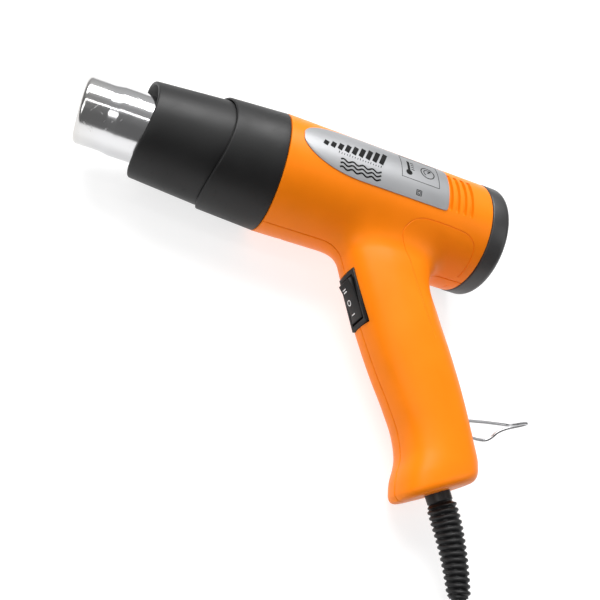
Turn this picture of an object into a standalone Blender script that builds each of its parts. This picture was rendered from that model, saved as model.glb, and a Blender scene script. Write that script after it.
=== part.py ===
"""Heat gun, lying on its right side on a bench.

Units are metres, +Z is up.  The barrel lies along X with the nozzle towards -X and the rear
face at X = 0.  The handle points towards -Y and leans down a little, so that its end rests on
the bench too.  Everything on the tool is placed in the tool's own axes (left side = +Z) under
one empty, TILT degrees about the barrel axis.  The cord lies on the bench in world axes.
"""
import math

import bmesh
import bpy
from mathutils import Matrix, Vector

MM = 0.001

# ---- driving dimensions (millimetres, turned into metres where they are used) ---------------
BODY_R = 33.2            # barrel of the housing
WALL = 2.3               # housing wall
SPLIT_GAP = 0.3          # between the two housing halves
FIT = 0.3                # clearance between neighbouring pieces

TIP_X = -239.3           # front end of the nozzle
STEP_FRONT_X = -225.7    # end of the slimmer front section
STEP_REAR_X = -220.7     # start of the wider rear section
NOZZLE_FRONT_R = 17.5
NOZZLE_REAR_R = 18.4
NOZZLE_WALL = 0.8
FLANGE_X = -152.0        # clamping flange of the nozzle tube
FLANGE_R = 28.0

RIM_X = -207.5           # mean front rim of the front guard
RIM_WAVE = 2.25          # the rim runs forward at top and bottom, back at the sides
RIM_R = 25.6
SEAM_X = -169.2          # mean seam between the guards
SEAM_WAVE = 3.3
SEAM_FRONT_R = 29.1
SEAM_REAR_R = 30.7
GUARD_WALL = 1.9
GUARD_END_X = -137.4
GUARD_END_R = 33.0

BODY_REAR_X = -13.0
CAP_R = 33.5
CAP_OPENING_R = 27.6
GRILLE_R = 27.3

# front and rear points of the handle on the split plane, and half its width there
HANDLE = [
    ((-97.0, -22.0), (-33.0, -22.0), 25.0),
    ((-98.0, -31.0), (-31.0, -31.0), 22.5),
    ((-92.5, -38.0), (-35.5, -36.5), 19.6),
    ((-88.8, -47.0), (-39.0, -43.0), 18.4),
    ((-85.3, -58.0), (-39.0, -50.0), 18.0),
    ((-78.0, -79.0), (-34.2, -65.4), 17.8),
    ((-68.0, -103.5), (-25.6, -91.0), 17.6),
    ((-60.6, -119.0), (-21.2, -106.5), 17.4),
    ((-54.8, -134.0), (-17.8, -121.5), 17.4),
    ((-53.6, -144.5), (-15.8, -131.5), 17.7),
    ((-56.6, -158.0), (-13.6, -142.6), 18.2),
    ((-56.0, -163.4), (-14.2, -147.2), 17.9),
    ((-52.6, -165.4), (-17.6, -152.2), 16.2),
]
HANDLE_ROUNDNESS = 2.5   # exponent of the section's superellipse
HANDLE_LEAN = math.radians(20.6)

HANDLE_END = (-33.0, -158.0)          # centre of the handle's end face
TILT = 5.8                            # lean of the handle down to the bench, degrees
BENCH_Z = -CAP_R                      # the bench, below the barrel axis

# three-position rocker switch
SWITCH_AT = (-82.9, -65.2)            # centre of the switch face
SWITCH_LEAN = 17.6                    # degrees
SWITCH_LENGTH = 31.0
SWITCH_WIDTH = 15.6
SWITCH_PIVOT_DEPTH = 4.2
ROCKER_TILT = 6.5                     # lower end pressed in: position I

# wire loop for hanging the tool up
LOOP_AT = (-21.8, -121.6)
LOOP_WIRE = 1.7
LOOP_HALF_WIDTH = 9.0
# the two legs from the housing to the tip, from the pivot; bent by hand, so not quite alike
LOOP_LEFT_LEG = [(1.6, 0.2, 9.0), (11.0, 1.6, 9.0), (24.8, 3.0, 9.0), (32.5, 5.6, 5.2),
                 (45.4, 10.4, 1.4)]
LOOP_RIGHT_LEG = [(1.6, 0.0, 9.0), (11.0, 0.4, 9.2), (25.8, -0.3, 9.4), (32.5, 5.1, 5.0),
                  (45.4, 10.2, 1.4)]
LOOP_TIP = (46.9, 10.8, 0.0)

# screws that hold the halves together: centre on the split plane
SCREWS = [(-122.0, 25.5), (-76.0, 25.5), (-121.0, -25.5), (-52.5, -57.0), (-49.5, -113.0), (-25.5, -142.5)]
SCREW_R = 1.35
SCREW_HEAD_R = 2.9
SCREW_SEAT_Z = -12.5                  # underside of the heads, in the right half
SCREW_TOP_Z = 9.0
BOSS_R = 4.0

MOTOR_R = 15.5
MOTOR_FRONT_X = -92.0
MOTOR_REAR_X = -52.0
SHAFT_R = 1.5
FAN_X = -35.0

BOARD_AT = (-40.5, -90.0, 0.0)        # rectifier board in the handle

# the lead: strain relief, free stretch, coil put away beside the handle's end, plug
CORD_R = 3.5
RELIEF_NECK_R = 6.4
RELIEF_LENGTH = 46.0
RELIEF_RIBS = 13
RELIEF_BEND = 14.0                    # turn of its end towards the nozzle side, degrees
RELIEF_DROOP = 0.10                   # slope of its end down to the bench
COIL_AT = (-47.0, -287.0)
COIL_TURN_R = 39.5                    # middle of the coil's turns
COIL_WIDTH = 21.0
COIL_HEIGHT = 19.2
TIE_THICKNESS = 1.2
TIE_AT = 140.0                        # place of the tie around the coil, degrees
# hand-placed route of the free stretch, from the strain relief to the side of the coil
CORD_ROUTE = [(-21.9, -201.6, -22.0), (-18.6, -220.0, -25.2), (-9.6, -244.0, -28.0), (6.2, -268.4, -28.4)]
TAIL_ROUTE = [(-82.6, -326.5, -17.2), (-95.0, -327.0, -17.6), (-108.6, -326.5, -18.6)]
PLUG_HALF_HEIGHT = 14.8
PIN_R = 2.4
PIN_SPACING = 19.0


def clear_scene():
    for thing in list(bpy.data.objects):
        bpy.data.objects.remove(thing, do_unlink=True)


MATERIALS = {
    "orange_plastic": ((0.90, 0.25, 0.02), 0.28, 0.0),
    "black_plastic": ((0.025, 0.025, 0.027), 0.55, 0.0),
    "grey_plastic": ((0.06, 0.06, 0.065), 0.6, 0.0),
    "chromed_steel": ((0.80, 0.80, 0.80), 0.08, 1.0),
    "steel": ((0.55, 0.55, 0.56), 0.35, 1.0),
    "silver_foil": ((0.62, 0.64, 0.66), 0.35, 0.6),
    "rubber": ((0.02, 0.02, 0.02), 0.7, 0.0),
    "mica": ((0.55, 0.42, 0.25), 0.5, 0.0),
    "ceramic": ((0.85, 0.83, 0.78), 0.5, 0.0),
    "resistance_wire": ((0.30, 0.27, 0.25), 0.45, 1.0),
    "brass": ((0.75, 0.55, 0.25), 0.3, 1.0),
    "copper": ((0.80, 0.40, 0.22), 0.35, 1.0),
    "white_plastic": ((0.80, 0.80, 0.76), 0.5, 0.0),
    "board_green": ((0.05, 0.22, 0.10), 0.5, 0.0),
    "capacitor_blue": ((0.05, 0.10, 0.35), 0.4, 0.0),
}


def material(name):
    found = bpy.data.materials.get(name)
    if found:
        return found
    colour, roughness, metallic = MATERIALS[name]
    made = bpy.data.materials.new(name)
    made.use_nodes = True
    shader = made.node_tree.nodes["Principled BSDF"]
    shader.inputs["Base Color"].default_value = (*colour, 1.0)
    shader.inputs["Roughness"].default_value = roughness
    shader.inputs["Metallic"].default_value = metallic
    made.diffuse_color = (*colour, 1.0)
    return made


# ---- building blocks -------------------------------------------------------------------------
def link(name, data, parent, mat):
    thing = bpy.data.objects.new(name, data)
    bpy.context.scene.collection.objects.link(thing)
    thing.parent = parent
    if mat:
        data.materials.append(material(mat))
    return thing


def empty(name, at=(0, 0, 0), turn_z=0.0, turn_x=0.0, parent=None):
    thing = bpy.data.objects.new(name, None)
    bpy.context.scene.collection.objects.link(thing)
    thing.parent = parent
    thing.location = Vector(at) * MM
    thing.rotation_euler = (math.radians(turn_x), 0.0, math.radians(turn_z))
    return thing


def from_bmesh(name, bm, parent, mat, smooth=True, sharp=35.0):
    bmesh.ops.recalc_face_normals(bm, faces=bm.faces)
    bmesh.ops.scale(bm, vec=(MM, MM, MM), verts=bm.verts)
    mesh = bpy.data.meshes.new(name)
    bm.to_mesh(mesh)
    bm.free()
    if smooth:
        mesh.shade_smooth()
        mesh.set_sharp_from_angle(angle=math.radians(sharp))
    return link(name, mesh, parent, mat)


def skin(bm, rings, closed_ends=True, loop_back=False):
    """Quads between equal rings of points; the ends are capped or joined to each other."""
    made = [[bm.verts.new(point) for point in ring] for ring in rings]
    count = len(made[0])
    pairs = list(zip(made, made[1:]))
    if loop_back:
        pairs.append((made[-1], made[0]))
    for first, second in pairs:
        for i in range(count):
            j = (i + 1) % count
            bm.faces.new((first[i], first[j], second[j], second[i]))
    if closed_ends and not loop_back:
        bm.faces.new(made[0])
        bm.faces.new(made[-1])
    return made


def turned(name, profile, parent, mat, segments=40, hollow=False, axis="X"):
    """A solid turned about an axis.  Profile points are (along, radius) or (along, radius, wave):
    a wave moves the point along the axis by wave * cos(2 * angle from the left side).
    A hollow piece's profile closes on itself; a solid one gets flat ends."""
    bm = bmesh.new()
    rings = []
    for point in profile:
        along, radius = point[0], point[1]
        wave = point[2] if len(point) > 2 else 0.0
        ring = []
        for i in range(segments):
            angle = 2 * math.pi * i / segments
            x = along + wave * math.cos(2 * angle)
            side, up = radius * math.sin(angle), radius * math.cos(angle)
            ring.append((x, side, up) if axis == "X" else (side, up, x))
        rings.append(ring)
    skin(bm, rings, loop_back=hollow)
    return from_bmesh(name, bm, parent, mat)


def rod(name, start, end, radius, parent, mat, segments=16):
    """A round bar between two points."""
    start, end = Vector(start), Vector(end)
    bm = bmesh.new()
    turn = (end - start).to_track_quat("Z", "Y").to_matrix().to_4x4()
    place = Matrix.Translation((start + end) / 2) @ turn
    bmesh.ops.create_cone(bm, cap_ends=True, segments=segments, radius1=radius, radius2=radius,
                          depth=(end - start).length, matrix=place)
    return from_bmesh(name, bm, parent, mat)


def block(name, size, at, parent, mat, bevel=0.0, turn_z=0.0):
    bm = bmesh.new()
    bmesh.ops.create_cube(bm, size=1.0)
    bmesh.ops.scale(bm, vec=size, verts=bm.verts)
    if bevel:
        bmesh.ops.bevel(bm, geom=bm.edges[:], offset=bevel, segments=2, profile=0.5, affect="EDGES")
    made = from_bmesh(name, bm, parent, mat)
    made.location = Vector(at) * MM
    made.rotation_euler = (0.0, 0.0, math.radians(turn_z))
    return made


def prism(name, outline, half_depth, parent, mat):
    """An outline in the XY plane, drawn out along Z to both sides."""
    bm = bmesh.new()
    rings = [[(x, y, z) for x, y in outline] for z in (-half_depth, half_depth)]
    skin(bm, rings)
    return from_bmesh(name, bm, parent, mat)


def hidden(thing):
    thing.hide_render = True
    thing.display_type = "WIRE"
    return thing


def boolean(thing, other, operation, solver="EXACT"):
    hidden(other)
    modifier = thing.modifiers.new(other.name, "BOOLEAN")
    modifier.operation = operation
    modifier.solver = solver
    modifier.object = other
    return thing


def cut(thing, other):
    return boolean(thing, other, "DIFFERENCE")


def fuse(thing, other):
    return boolean(thing, other, "UNION")


def arc(centre, radius, start, end, steps):
    """Points on an arc, angles in degrees."""
    out = []
    for i in range(steps + 1):
        angle = math.radians(start + (end - start) * i / steps)
        out.append((centre[0] + radius * math.cos(angle), centre[1] + radius * math.sin(angle)))
    return out


# ---- nozzle, guards and heater ---------------------------------------------------------------
def tube_profile(points, wall):
    """Closed wall section: the outer points, then the same points moved in by the wall."""
    inner = [(x, r - wall, *rest) for x, r, *rest in reversed(points)]
    return list(points) + inner


def add_nozzle(tool):
    lip = 2.6
    outer = arc((TIP_X + lip, NOZZLE_FRONT_R - lip), lip, 180, 90, 3)
    outer += [(STEP_FRONT_X, NOZZLE_FRONT_R), (STEP_REAR_X, NOZZLE_REAR_R),
              (FLANGE_X, NOZZLE_REAR_R), (FLANGE_X, FLANGE_R)]
    inner_r = NOZZLE_REAR_R - NOZZLE_WALL
    inner = [(FLANGE_X + 1.0, FLANGE_R), (FLANGE_X + 1.0, inner_r), (STEP_REAR_X, inner_r),
             (STEP_FRONT_X, NOZZLE_FRONT_R - NOZZLE_WALL), (TIP_X + lip, NOZZLE_FRONT_R - NOZZLE_WALL),
             (TIP_X + 1.2, NOZZLE_FRONT_R - lip - 0.3)]
    turned("nozzle_tube", outer + inner, tool, "chromed_steel", segments=48, hollow=True)


def add_guards(tool):
    spigot_r = SEAM_FRONT_R - 0.3
    front = [(RIM_X + 0.5, RIM_R - GUARD_WALL, RIM_WAVE), (RIM_X, RIM_R - GUARD_WALL + 0.5, RIM_WAVE),
             (RIM_X, RIM_R - 0.6, RIM_WAVE), (RIM_X + 0.6, RIM_R, RIM_WAVE),
             (SEAM_X - 1.0, SEAM_FRONT_R - 0.1, SEAM_WAVE), (SEAM_X + 1.5, spigot_r, SEAM_WAVE),
             (-158.5, spigot_r), (-158.5, spigot_r - GUARD_WALL),
             (SEAM_X, spigot_r - GUARD_WALL, SEAM_WAVE)]
    turned("heat_guard_front", front, tool, "black_plastic", segments=48, hollow=True)
    inner_front = SEAM_FRONT_R + 0.2
    rear = [(SEAM_X + 0.4, inner_front, SEAM_WAVE), (SEAM_X, inner_front + 0.4, SEAM_WAVE),
            (SEAM_X, SEAM_REAR_R - 0.5, SEAM_WAVE), (SEAM_X + 0.5, SEAM_REAR_R, SEAM_WAVE),
            (GUARD_END_X - 0.5, GUARD_END_R), (GUARD_END_X, GUARD_END_R - 0.5),
            (GUARD_END_X, GUARD_END_R - GUARD_WALL), (-151.0, GUARD_END_R - GUARD_WALL - 0.7),
            (-157.0, inner_front)]
    turned("heat_guard_rear", rear, tool, "black_plastic", segments=48, hollow=True)


def add_heater(tool):
    inner_r = NOZZLE_REAR_R - NOZZLE_WALL
    sleeve = tube_profile([(-219.0, inner_r - FIT), (-160.0, inner_r - FIT)], 0.6)
    turned("mica_sleeve", sleeve, tool, "mica", segments=32, hollow=True)
    half, blade, length = 12.0, 0.4, 54.0
    cross = [(half, -blade), (half, blade), (blade, blade), (blade, half), (-blade, half),
             (-blade, blade), (-half, blade), (-half, -blade), (-blade, -blade), (-blade, -half),
             (blade, -half), (blade, -blade)]
    bm = bmesh.new()
    skin(bm, [[(x, y, z) for y, z in cross] for x in (-216.0, -216.0 + length)])
    from_bmesh("mica_cross", bm, tool, "mica", smooth=False)
    for name, start, turns in (("heater_coil_front", -213.0, 4), ("heater_coil_rear", -189.0, 4)):
        add_helix(name, start, turns, 5.0, 13.6, 0.8, tool)
    base = [(-158.6, 17.2), (-154.4, 17.2), (-154.4, 12.6), (-158.6, 12.6)]
    turned("heater_base", base, tool, "ceramic", segments=32, hollow=True)
    block("thermal_cutout", (9.0, 7.0, 3.6), (-146.0, 0.0, 0.0), tool, "white_plastic", bevel=0.5)


def add_helix(name, start_x, turns, pitch, radius, wire_r, parent):
    steps = 14
    points = []
    for i in range(turns * steps + 1):
        angle = 2 * math.pi * i / steps
        points.append((start_x + pitch * i / steps, radius * math.sin(angle), radius * math.cos(angle)))
    wire(name, points, wire_r, parent, "resistance_wire", resolution=1)


def wire(name, points, radius, parent, mat, resolution=2):
    """A round wire or cord through the points, with filled ends."""
    curve = bpy.data.curves.new(name, "CURVE")
    curve.dimensions = "3D"
    curve.bevel_depth = radius * MM
    curve.bevel_resolution = resolution
    curve.use_fill_caps = True
    spline = curve.splines.new("POLY")
    spline.points.add(len(points) - 1)
    for slot, point in zip(spline.points, points):
        slot.co = (*(Vector(point) * MM), 1.0)
    return link(name, curve, parent, mat)


def smooth_route(knots, spacing):
    """Evenly spaced points on a Catmull-Rom curve through the knots."""
    ends = [2 * Vector(knots[0]) - Vector(knots[1])] + [Vector(k) for k in knots]
    ends.append(2 * ends[-1] - ends[-2])
    fine = []
    for a, b, c, d in zip(ends, ends[1:], ends[2:], ends[3:]):
        for i in range(24):
            t = i / 24
            fine.append(0.5 * (2 * b + (c - a) * t + (2 * a - 5 * b + 4 * c - d) * t * t
                               + (3 * b - a - 3 * c + d) * t ** 3))
    fine.append(ends[-2])
    length = sum((q - p).length for p, q in zip(fine, fine[1:]))
    count = max(2, round(length / spacing))
    out, gone, target = [fine[0]], 0.0, 1
    for p, q in zip(fine, fine[1:]):
        step = (q - p).length
        while target < count and gone + step >= length * target / count:
            out.append(p.lerp(q, (length * target / count - gone) / step))
            target += 1
        gone += step
    out.append(fine[-1])
    return out


# ---- housing ---------------------------------------------------------------------------------
def handle_sections(inset):
    """Rings of points down the handle; inset moves them in for the inside of the wall."""
    rings = []
    power = 2.0 / HANDLE_ROUNDNESS
    for front, rear, half_width in HANDLE:
        front, rear = Vector(front), Vector(rear)
        middle, across = (front + rear) / 2, (rear - front).normalized()
        half_depth = (rear - front).length / 2 - inset
        ring = []
        for i in range(28):
            angle = 2 * math.pi * i / 28
            c, s = math.cos(angle), math.sin(angle)
            out = middle + across * (half_depth * math.copysign(abs(c) ** power, c))
            ring.append((out.x, out.y, (half_width - inset) * math.copysign(abs(s) ** power, s)))
        rings.append(ring)
    return rings


def handle_solid(name, tool, inset, last=None):
    bm = bmesh.new()
    skin(bm, handle_sections(inset)[:last])
    return hidden(from_bmesh(name, bm, tool, None))


def barrel_outside(name, tool):
    front_spigot, rear_spigot = 29.6, 30.0
    profile = [(FLANGE_X + 1.4, front_spigot), (GUARD_END_X + 0.3, front_spigot),
               (GUARD_END_X + 0.3, BODY_R - 0.4), (GUARD_END_X + 0.7, BODY_R),
               (BODY_REAR_X - 0.4, BODY_R), (BODY_REAR_X, BODY_R - 0.4), (BODY_REAR_X, rear_spigot),
               (-8.0, rear_spigot)]
    return turned(name, profile, tool, "orange_plastic", segments=56)


def barrel_inside(name, tool):
    profile = [(FLANGE_X - 1.0, 27.0), (-139.0, 27.0), (-135.5, BODY_R - WALL),
               (-17.0, BODY_R - WALL), (-14.0, 27.8), (-6.0, 27.8)]
    return hidden(turned(name, profile, tool, None, segments=56))


def half_space(name, tool, side):
    size = 400.0
    return block(name, (size, size, size), (-100.0, -60.0, side * (size + SPLIT_GAP) / 2), tool, None)


def vent_cutter(name, tool, x, side):
    """A shallow groove across the side of the barrel."""
    start, end, deep, steps = -20.0, 26.0, 1.2, 8
    half_width = 0.9
    bm = bmesh.new()
    rings = []
    for i in range(steps + 1):
        angle = math.radians(start + (end - start) * i / steps)
        ring = []
        for along, radius in ((-half_width, BODY_R - deep), (half_width, BODY_R - deep),
                              (half_width, BODY_R + 1.0), (-half_width, BODY_R + 1.0)):
            ring.append((x + along, radius * math.sin(angle), side * radius * math.cos(angle)))
        rings.append(ring)
    skin(bm, rings)
    return hidden(from_bmesh(name, bm, tool, None))


VENT_XS = [-40.6, -36.0, -31.5, -27.1]


def hollow_of_housing(tool):
    """The space inside the housing, less the posts that the screws go through."""
    hollow = barrel_inside("housing_hollow", tool)
    fuse(hollow, handle_solid("handle_inside", tool, WALL, last=-1))
    for i, (x, y) in enumerate(SCREWS):
        cut(hollow, rod(f"screw_post_{i}", (x, y, -40.0), (x, y, 40.0), BOSS_R, tool, None))
    return hollow


def cut_for_screws(shell, word, side, tool):
    for i, (x, y) in enumerate(SCREWS):
        far = SCREW_TOP_Z + 1.5 if side > 0 else 60.0
        cut(shell, rod(f"hole_{word}_{i}", (x, y, -side), (x, y, far * side), SCREW_R + FIT, tool, None, 12))
        if side < 0:
            cut(shell, rod(f"well_{i}", (x, y, SCREW_SEAT_Z), (x, y, -60.0), SCREW_HEAD_R + FIT, tool, None))


def cut_for_switch(shell, word):
    seat = bpy.data.objects["switch_seat"]
    pocket = (8.0, SWITCH_LENGTH + 2 * FIT, SWITCH_WIDTH + 2 * FIT)
    window = (30.0, 27.6, 13.2)
    for name, size, depth in (("pocket", pocket, 2.4), ("window", window, 16.0)):
        cut(shell, block(f"switch_{name}_{word}", size, (size[0] / 2 - depth, 0, 0), seat, None))


def cut_for_loop(shell, word, side, tool):
    pivot = bpy.data.objects["loop_pivot"]
    slot = (14.0, 10.6, LOOP_WIRE + 1.0)
    cut(shell, block(f"loop_slot_{word}", slot, (4.5, -2.7, side * LOOP_HALF_WIDTH), pivot, None))
    near, far = side * (LOOP_HALF_WIDTH - 0.5), side * (LOOP_HALF_WIDTH + 3.3)
    cut(shell, rod(f"loop_bore_{word}", (*LOOP_AT, near), (*LOOP_AT, far), LOOP_WIRE / 2 + 0.45, tool, None))


def handle_down():
    """Direction along the handle, out of its end face."""
    return Vector((math.sin(HANDLE_LEAN), -math.cos(HANDLE_LEAN), 0.0))


def add_housing(tool):
    outside_handle = handle_solid("handle_outside", tool, 0.0)
    hollow = hollow_of_housing(tool)
    end = Vector((*HANDLE_END, 0.0))
    mouth = end - handle_down() * 20, end + handle_down() * 8
    for word, side in (("left", 1), ("right", -1)):
        shell = barrel_outside(f"body_{word}_shell", tool)
        fuse(shell, outside_handle)
        cut(shell, hollow)
        cut_for_screws(shell, word, side, tool)
        for i, x in enumerate(VENT_XS):
            cut(shell, vent_cutter(f"vent_{word}_{i}", tool, x, side))
        cut_for_switch(shell, word)
        cut(shell, rod(f"cord_hole_{word}", *mouth, RELIEF_NECK_R + 0.5, tool, None, 24))
        cut_for_loop(shell, word, side, tool)
        boolean(shell, half_space(f"half_{word}", tool, side), "INTERSECT")


def add_screws(tool):
    seat, top, head = SCREW_SEAT_Z - FIT, SCREW_TOP_Z, 2.2
    profile = [(seat - head, SCREW_HEAD_R - 0.5), (seat - head + 0.6, SCREW_HEAD_R), (seat, SCREW_HEAD_R),
               (seat, SCREW_R), (top - 1.5, SCREW_R), (top, 0.4)]
    for i, (x, y) in enumerate(SCREWS):
        made = turned(f"housing_screw_{i + 1}", profile, tool, "steel", segments=12, axis="Z")
        made.location = Vector((x, y, 0.0)) * MM


def add_label(tool):
    """Thin plate wrapped on the barrel: a half ellipse at the front, nearly square at the rear."""
    middle, half, tip, wide, rear = 6.0, 27.5, -130.6, -95.0, -42.5
    low_r, high_r = BODY_R + 0.12, BODY_R + 0.72
    columns = []
    for i in range(9):
        angle = math.radians(12 + 78 * i / 8)
        columns.append((wide - (wide - tip) * math.cos(angle), half * math.sin(angle)))
    columns += [(-77.0, half), (-59.0, half), (rear - 1.0, half), (rear, half - 1.5)]
    bm = bmesh.new()
    rings = []
    across = 10
    for x, reach in columns:
        top, bottom = [], []
        for k in range(across + 1):
            angle = math.radians(middle - reach + 2 * reach * k / across)
            top.append((x, high_r * math.sin(angle), high_r * math.cos(angle)))
            bottom.append((x, low_r * math.sin(angle), low_r * math.cos(angle)))
        rings.append(top + bottom[::-1])
    skin(bm, rings)
    from_bmesh("name_label", bm, tool, "silver_foil", smooth=False)


# ---- rear cap, fan and motor -------------------------------------------------------------------
def add_rear(tool):
    corner = 4.5
    ring = [(BODY_REAR_X + FIT, 30.4), (BODY_REAR_X + FIT, CAP_R - 0.8), (BODY_REAR_X + 1.1, CAP_R)]
    ring += arc((-corner, CAP_R - corner), corner, 90, 0, 4)
    ring += [(0.0, CAP_OPENING_R), (-3.2, CAP_OPENING_R), (-3.2, 30.4)]
    turned("rear_cap_ring", ring, tool, "grey_plastic", segments=56, hollow=True)
    disc = [(-6.6, 29.9), (-3.6, 29.9), (-3.6, GRILLE_R), (0.0, GRILLE_R)]
    grille = turned("rear_grille", disc, tool, "black_plastic", segments=48)
    hollow = turned("grille_hollow", [(-8.0, 27.0), (-2.4, 27.0)], tool, None, segments=48)
    cut(grille, hidden(hollow))
    slots = 20
    bm = bmesh.new()
    for i in range(slots):
        turn = Matrix.Rotation(2 * math.pi * i / slots, 4, "X")
        place = turn @ Matrix.Translation((0.0, 17.5, 0.0)) @ Matrix.Diagonal((12.0, 14.0, 2.4, 1.0))
        bmesh.ops.create_cube(bm, size=1.0, matrix=place)
    cut(grille, hidden(from_bmesh("grille_slots", bm, tool, None, smooth=False)))


def add_fan_and_motor(tool):
    can = [(MOTOR_FRONT_X, MOTOR_R - 1.0), (MOTOR_FRONT_X + 1.0, MOTOR_R), (MOTOR_REAR_X, MOTOR_R),
           (MOTOR_REAR_X, MOTOR_R - 1.0), (MOTOR_FRONT_X + 1.2, MOTOR_R - 1.2), (MOTOR_FRONT_X + 1.2, 2.0),
           (MOTOR_FRONT_X, 2.0)]
    turned("motor_can", can, tool, "steel", segments=32, hollow=True)
    end_cap = [(MOTOR_REAR_X + FIT, 2.0), (MOTOR_REAR_X + FIT, MOTOR_R), (MOTOR_REAR_X + 2.6, MOTOR_R - 0.6),
               (MOTOR_REAR_X + 2.6, 5.0), (MOTOR_REAR_X + 4.4, 4.2), (MOTOR_REAR_X + 4.4, 2.0)]
    turned("motor_end_cap", end_cap, tool, "white_plastic", segments=32, hollow=True)
    rotor = empty("fan_axis", (FAN_X, 0, 0), parent=tool)
    start, end = MOTOR_FRONT_X - 3.0 - FAN_X, 5.0
    turned("motor_shaft", [(start, SHAFT_R), (end, SHAFT_R)], rotor, "steel", segments=12)
    back, front = MOTOR_REAR_X - 4.0 - FAN_X, MOTOR_FRONT_X + 6.0 - FAN_X
    armature = [(front, SHAFT_R + 0.1), (front, 11.5), (back, 11.5), (back, SHAFT_R + 0.1)]
    turned("motor_armature", armature, rotor, "copper", segments=20, hollow=True)
    hub = [(-6.0, SHAFT_R + 0.1), (-6.0, 8.0), (5.0, 8.0), (6.5, 6.0), (6.5, SHAFT_R + 0.1)]
    fan = turned("fan_impeller", hub, rotor, "black_plastic", segments=28, hollow=True)
    for i in range(7):
        blade = block(f"fan_blade_{i}", (12.5, 18.5, 1.3), (0, 0, 0), rotor, None)
        turn = Matrix.Rotation(2 * math.pi * i / 7, 4, "X")
        lift = Matrix.Translation(Vector((0.0, 16.4, 0.0)) * MM)
        blade.matrix_local = turn @ lift @ Matrix.Rotation(math.radians(38), 4, "Y")
        fuse(fan, blade)
    shroud = [(-66.0, 30.5), (-26.0, 30.5), (-26.0, 28.6), (-66.0, 28.6)]
    bracket = turned("motor_bracket", shroud, tool, "white_plastic", segments=40, hollow=True)
    collar = [(-66.0, MOTOR_R + 0.3), (-66.0, MOTOR_R + 1.9), (-54.0, MOTOR_R + 1.9), (-54.0, MOTOR_R + 0.3)]
    fuse(bracket, hidden(turned("bracket_collar", collar, tool, None, segments=40, hollow=True)))
    for i in range(4):
        angle = math.radians(45 + 90 * i)
        arm = block(f"bracket_arm_{i}", (10.0, 12.6, 2.0), (0, 0, 0), tool, None)
        turn = Matrix.Rotation(angle, 4, "X")
        arm.matrix_local = turn @ Matrix.Translation(Vector((-60.5, 22.8, 0.0)) * MM)
        fuse(bracket, arm)


# ---- switch ------------------------------------------------------------------------------------
def add_switch(tool):
    """Three-position rocker; in the seat's axes X points out of the handle, Y down along it."""
    seat = bpy.data.objects["switch_seat"]
    recess_half, recess_bottom = 12.8, -SWITCH_PIVOT_DEPTH - 5.4
    housing = block("switch_housing", (2.1, SWITCH_LENGTH, SWITCH_WIDTH), (-1.05, 0, 0), seat, "black_plastic",
                    bevel=0.4)
    fuse(housing, block("switch_core", (16.0, 27.0, 12.6), (-9.6, 0, 0), seat, None))
    deep = 20.0
    cut(housing, block("switch_recess", (deep, 2 * recess_half, 11.4), (recess_bottom + deep / 2, 0, 0), seat,
                       None))
    pivot = empty("rocker_pivot", (-SWITCH_PIVOT_DEPTH, 0, 0), turn_z=ROCKER_TILT, parent=seat)
    half = [(4.9, 0.0)] + arc((0, 0), 12.4, 62, 98, 5) + [(-4.2, 4.0)]
    outline = half + [(x, -y) for x, y in reversed(half[1:])]
    prism("switch_rocker", outline, 5.4, pivot, "black_plastic")
    for i, y in enumerate((-8.0, 0.0, 8.0)):
        block(f"switch_terminal_{i + 1}", (6.0, 0.8, 4.8), (-17.6 - FIT - 3.0, y, 0), seat, "brass")


# ---- wire loop -----------------------------------------------------------------------------------
def add_loop(tool):
    """Bent from one wire; both ends turn outwards into the housing, on the pivot's Z axis."""
    pivot = bpy.data.objects["loop_pivot"]
    foot = [(0.0, 0.0, LOOP_HALF_WIDTH + 2.8), (0.0, 0.0, LOOP_HALF_WIDTH + 0.9),
            (0.5, 0.0, LOOP_HALF_WIDTH + 0.2)]
    left = foot + LOOP_LEFT_LEG
    right = [(x, y, -z) for x, y, z in foot + LOOP_RIGHT_LEG]
    wire("hanging_loop", left + [LOOP_TIP] + right[::-1], LOOP_WIRE / 2, pivot, "steel", resolution=1)


# ---- electrics in the handle, strain relief and cord ----------------------------------------------
def add_handle_parts(tool):
    """Rectifier board with its four diodes on the rear side and a capacitor on the front side."""
    board = empty("board_place", BOARD_AT, turn_z=SWITCH_LEAN, parent=tool)
    block("rectifier_board", (1.6, 26.0, 18.0), (0, 0, 0), board, "board_green")
    block("suppression_capacitor", (6.0, 15.0, 12.0), (-4.2, 0, 0), board, "capacitor_blue", bevel=0.5)
    for i in range(4):
        y = -9.0 + 6.0 * i
        rod(f"diode_{i + 1}", (2.7, y, -3.2), (2.7, y, 3.2), 1.5, board, "black_plastic", 10)


def relief_profile():
    """(along, radius) from the flange inside the handle to the end of the ribbed sleeve."""
    neck = RELIEF_NECK_R
    profile = [(-8.6, neck + 2.4), (-5.2, neck + 2.4), (-5.2, neck), (4.6, neck), (5.2, neck - 0.8)]
    first, last = 6.0, RELIEF_LENGTH - 1.0
    pitch = (last - first) / RELIEF_RIBS
    for i in range(RELIEF_RIBS):
        start = first + pitch * i
        radius = 7.4 - 2.0 * max(0.0, (i - 3) / (RELIEF_RIBS - 4))
        profile += [(start, radius - 0.8), (start + 0.25 * pitch, radius), (start + 0.75 * pitch, radius)]
    return profile + [(RELIEF_LENGTH, 4.4)]


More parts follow.
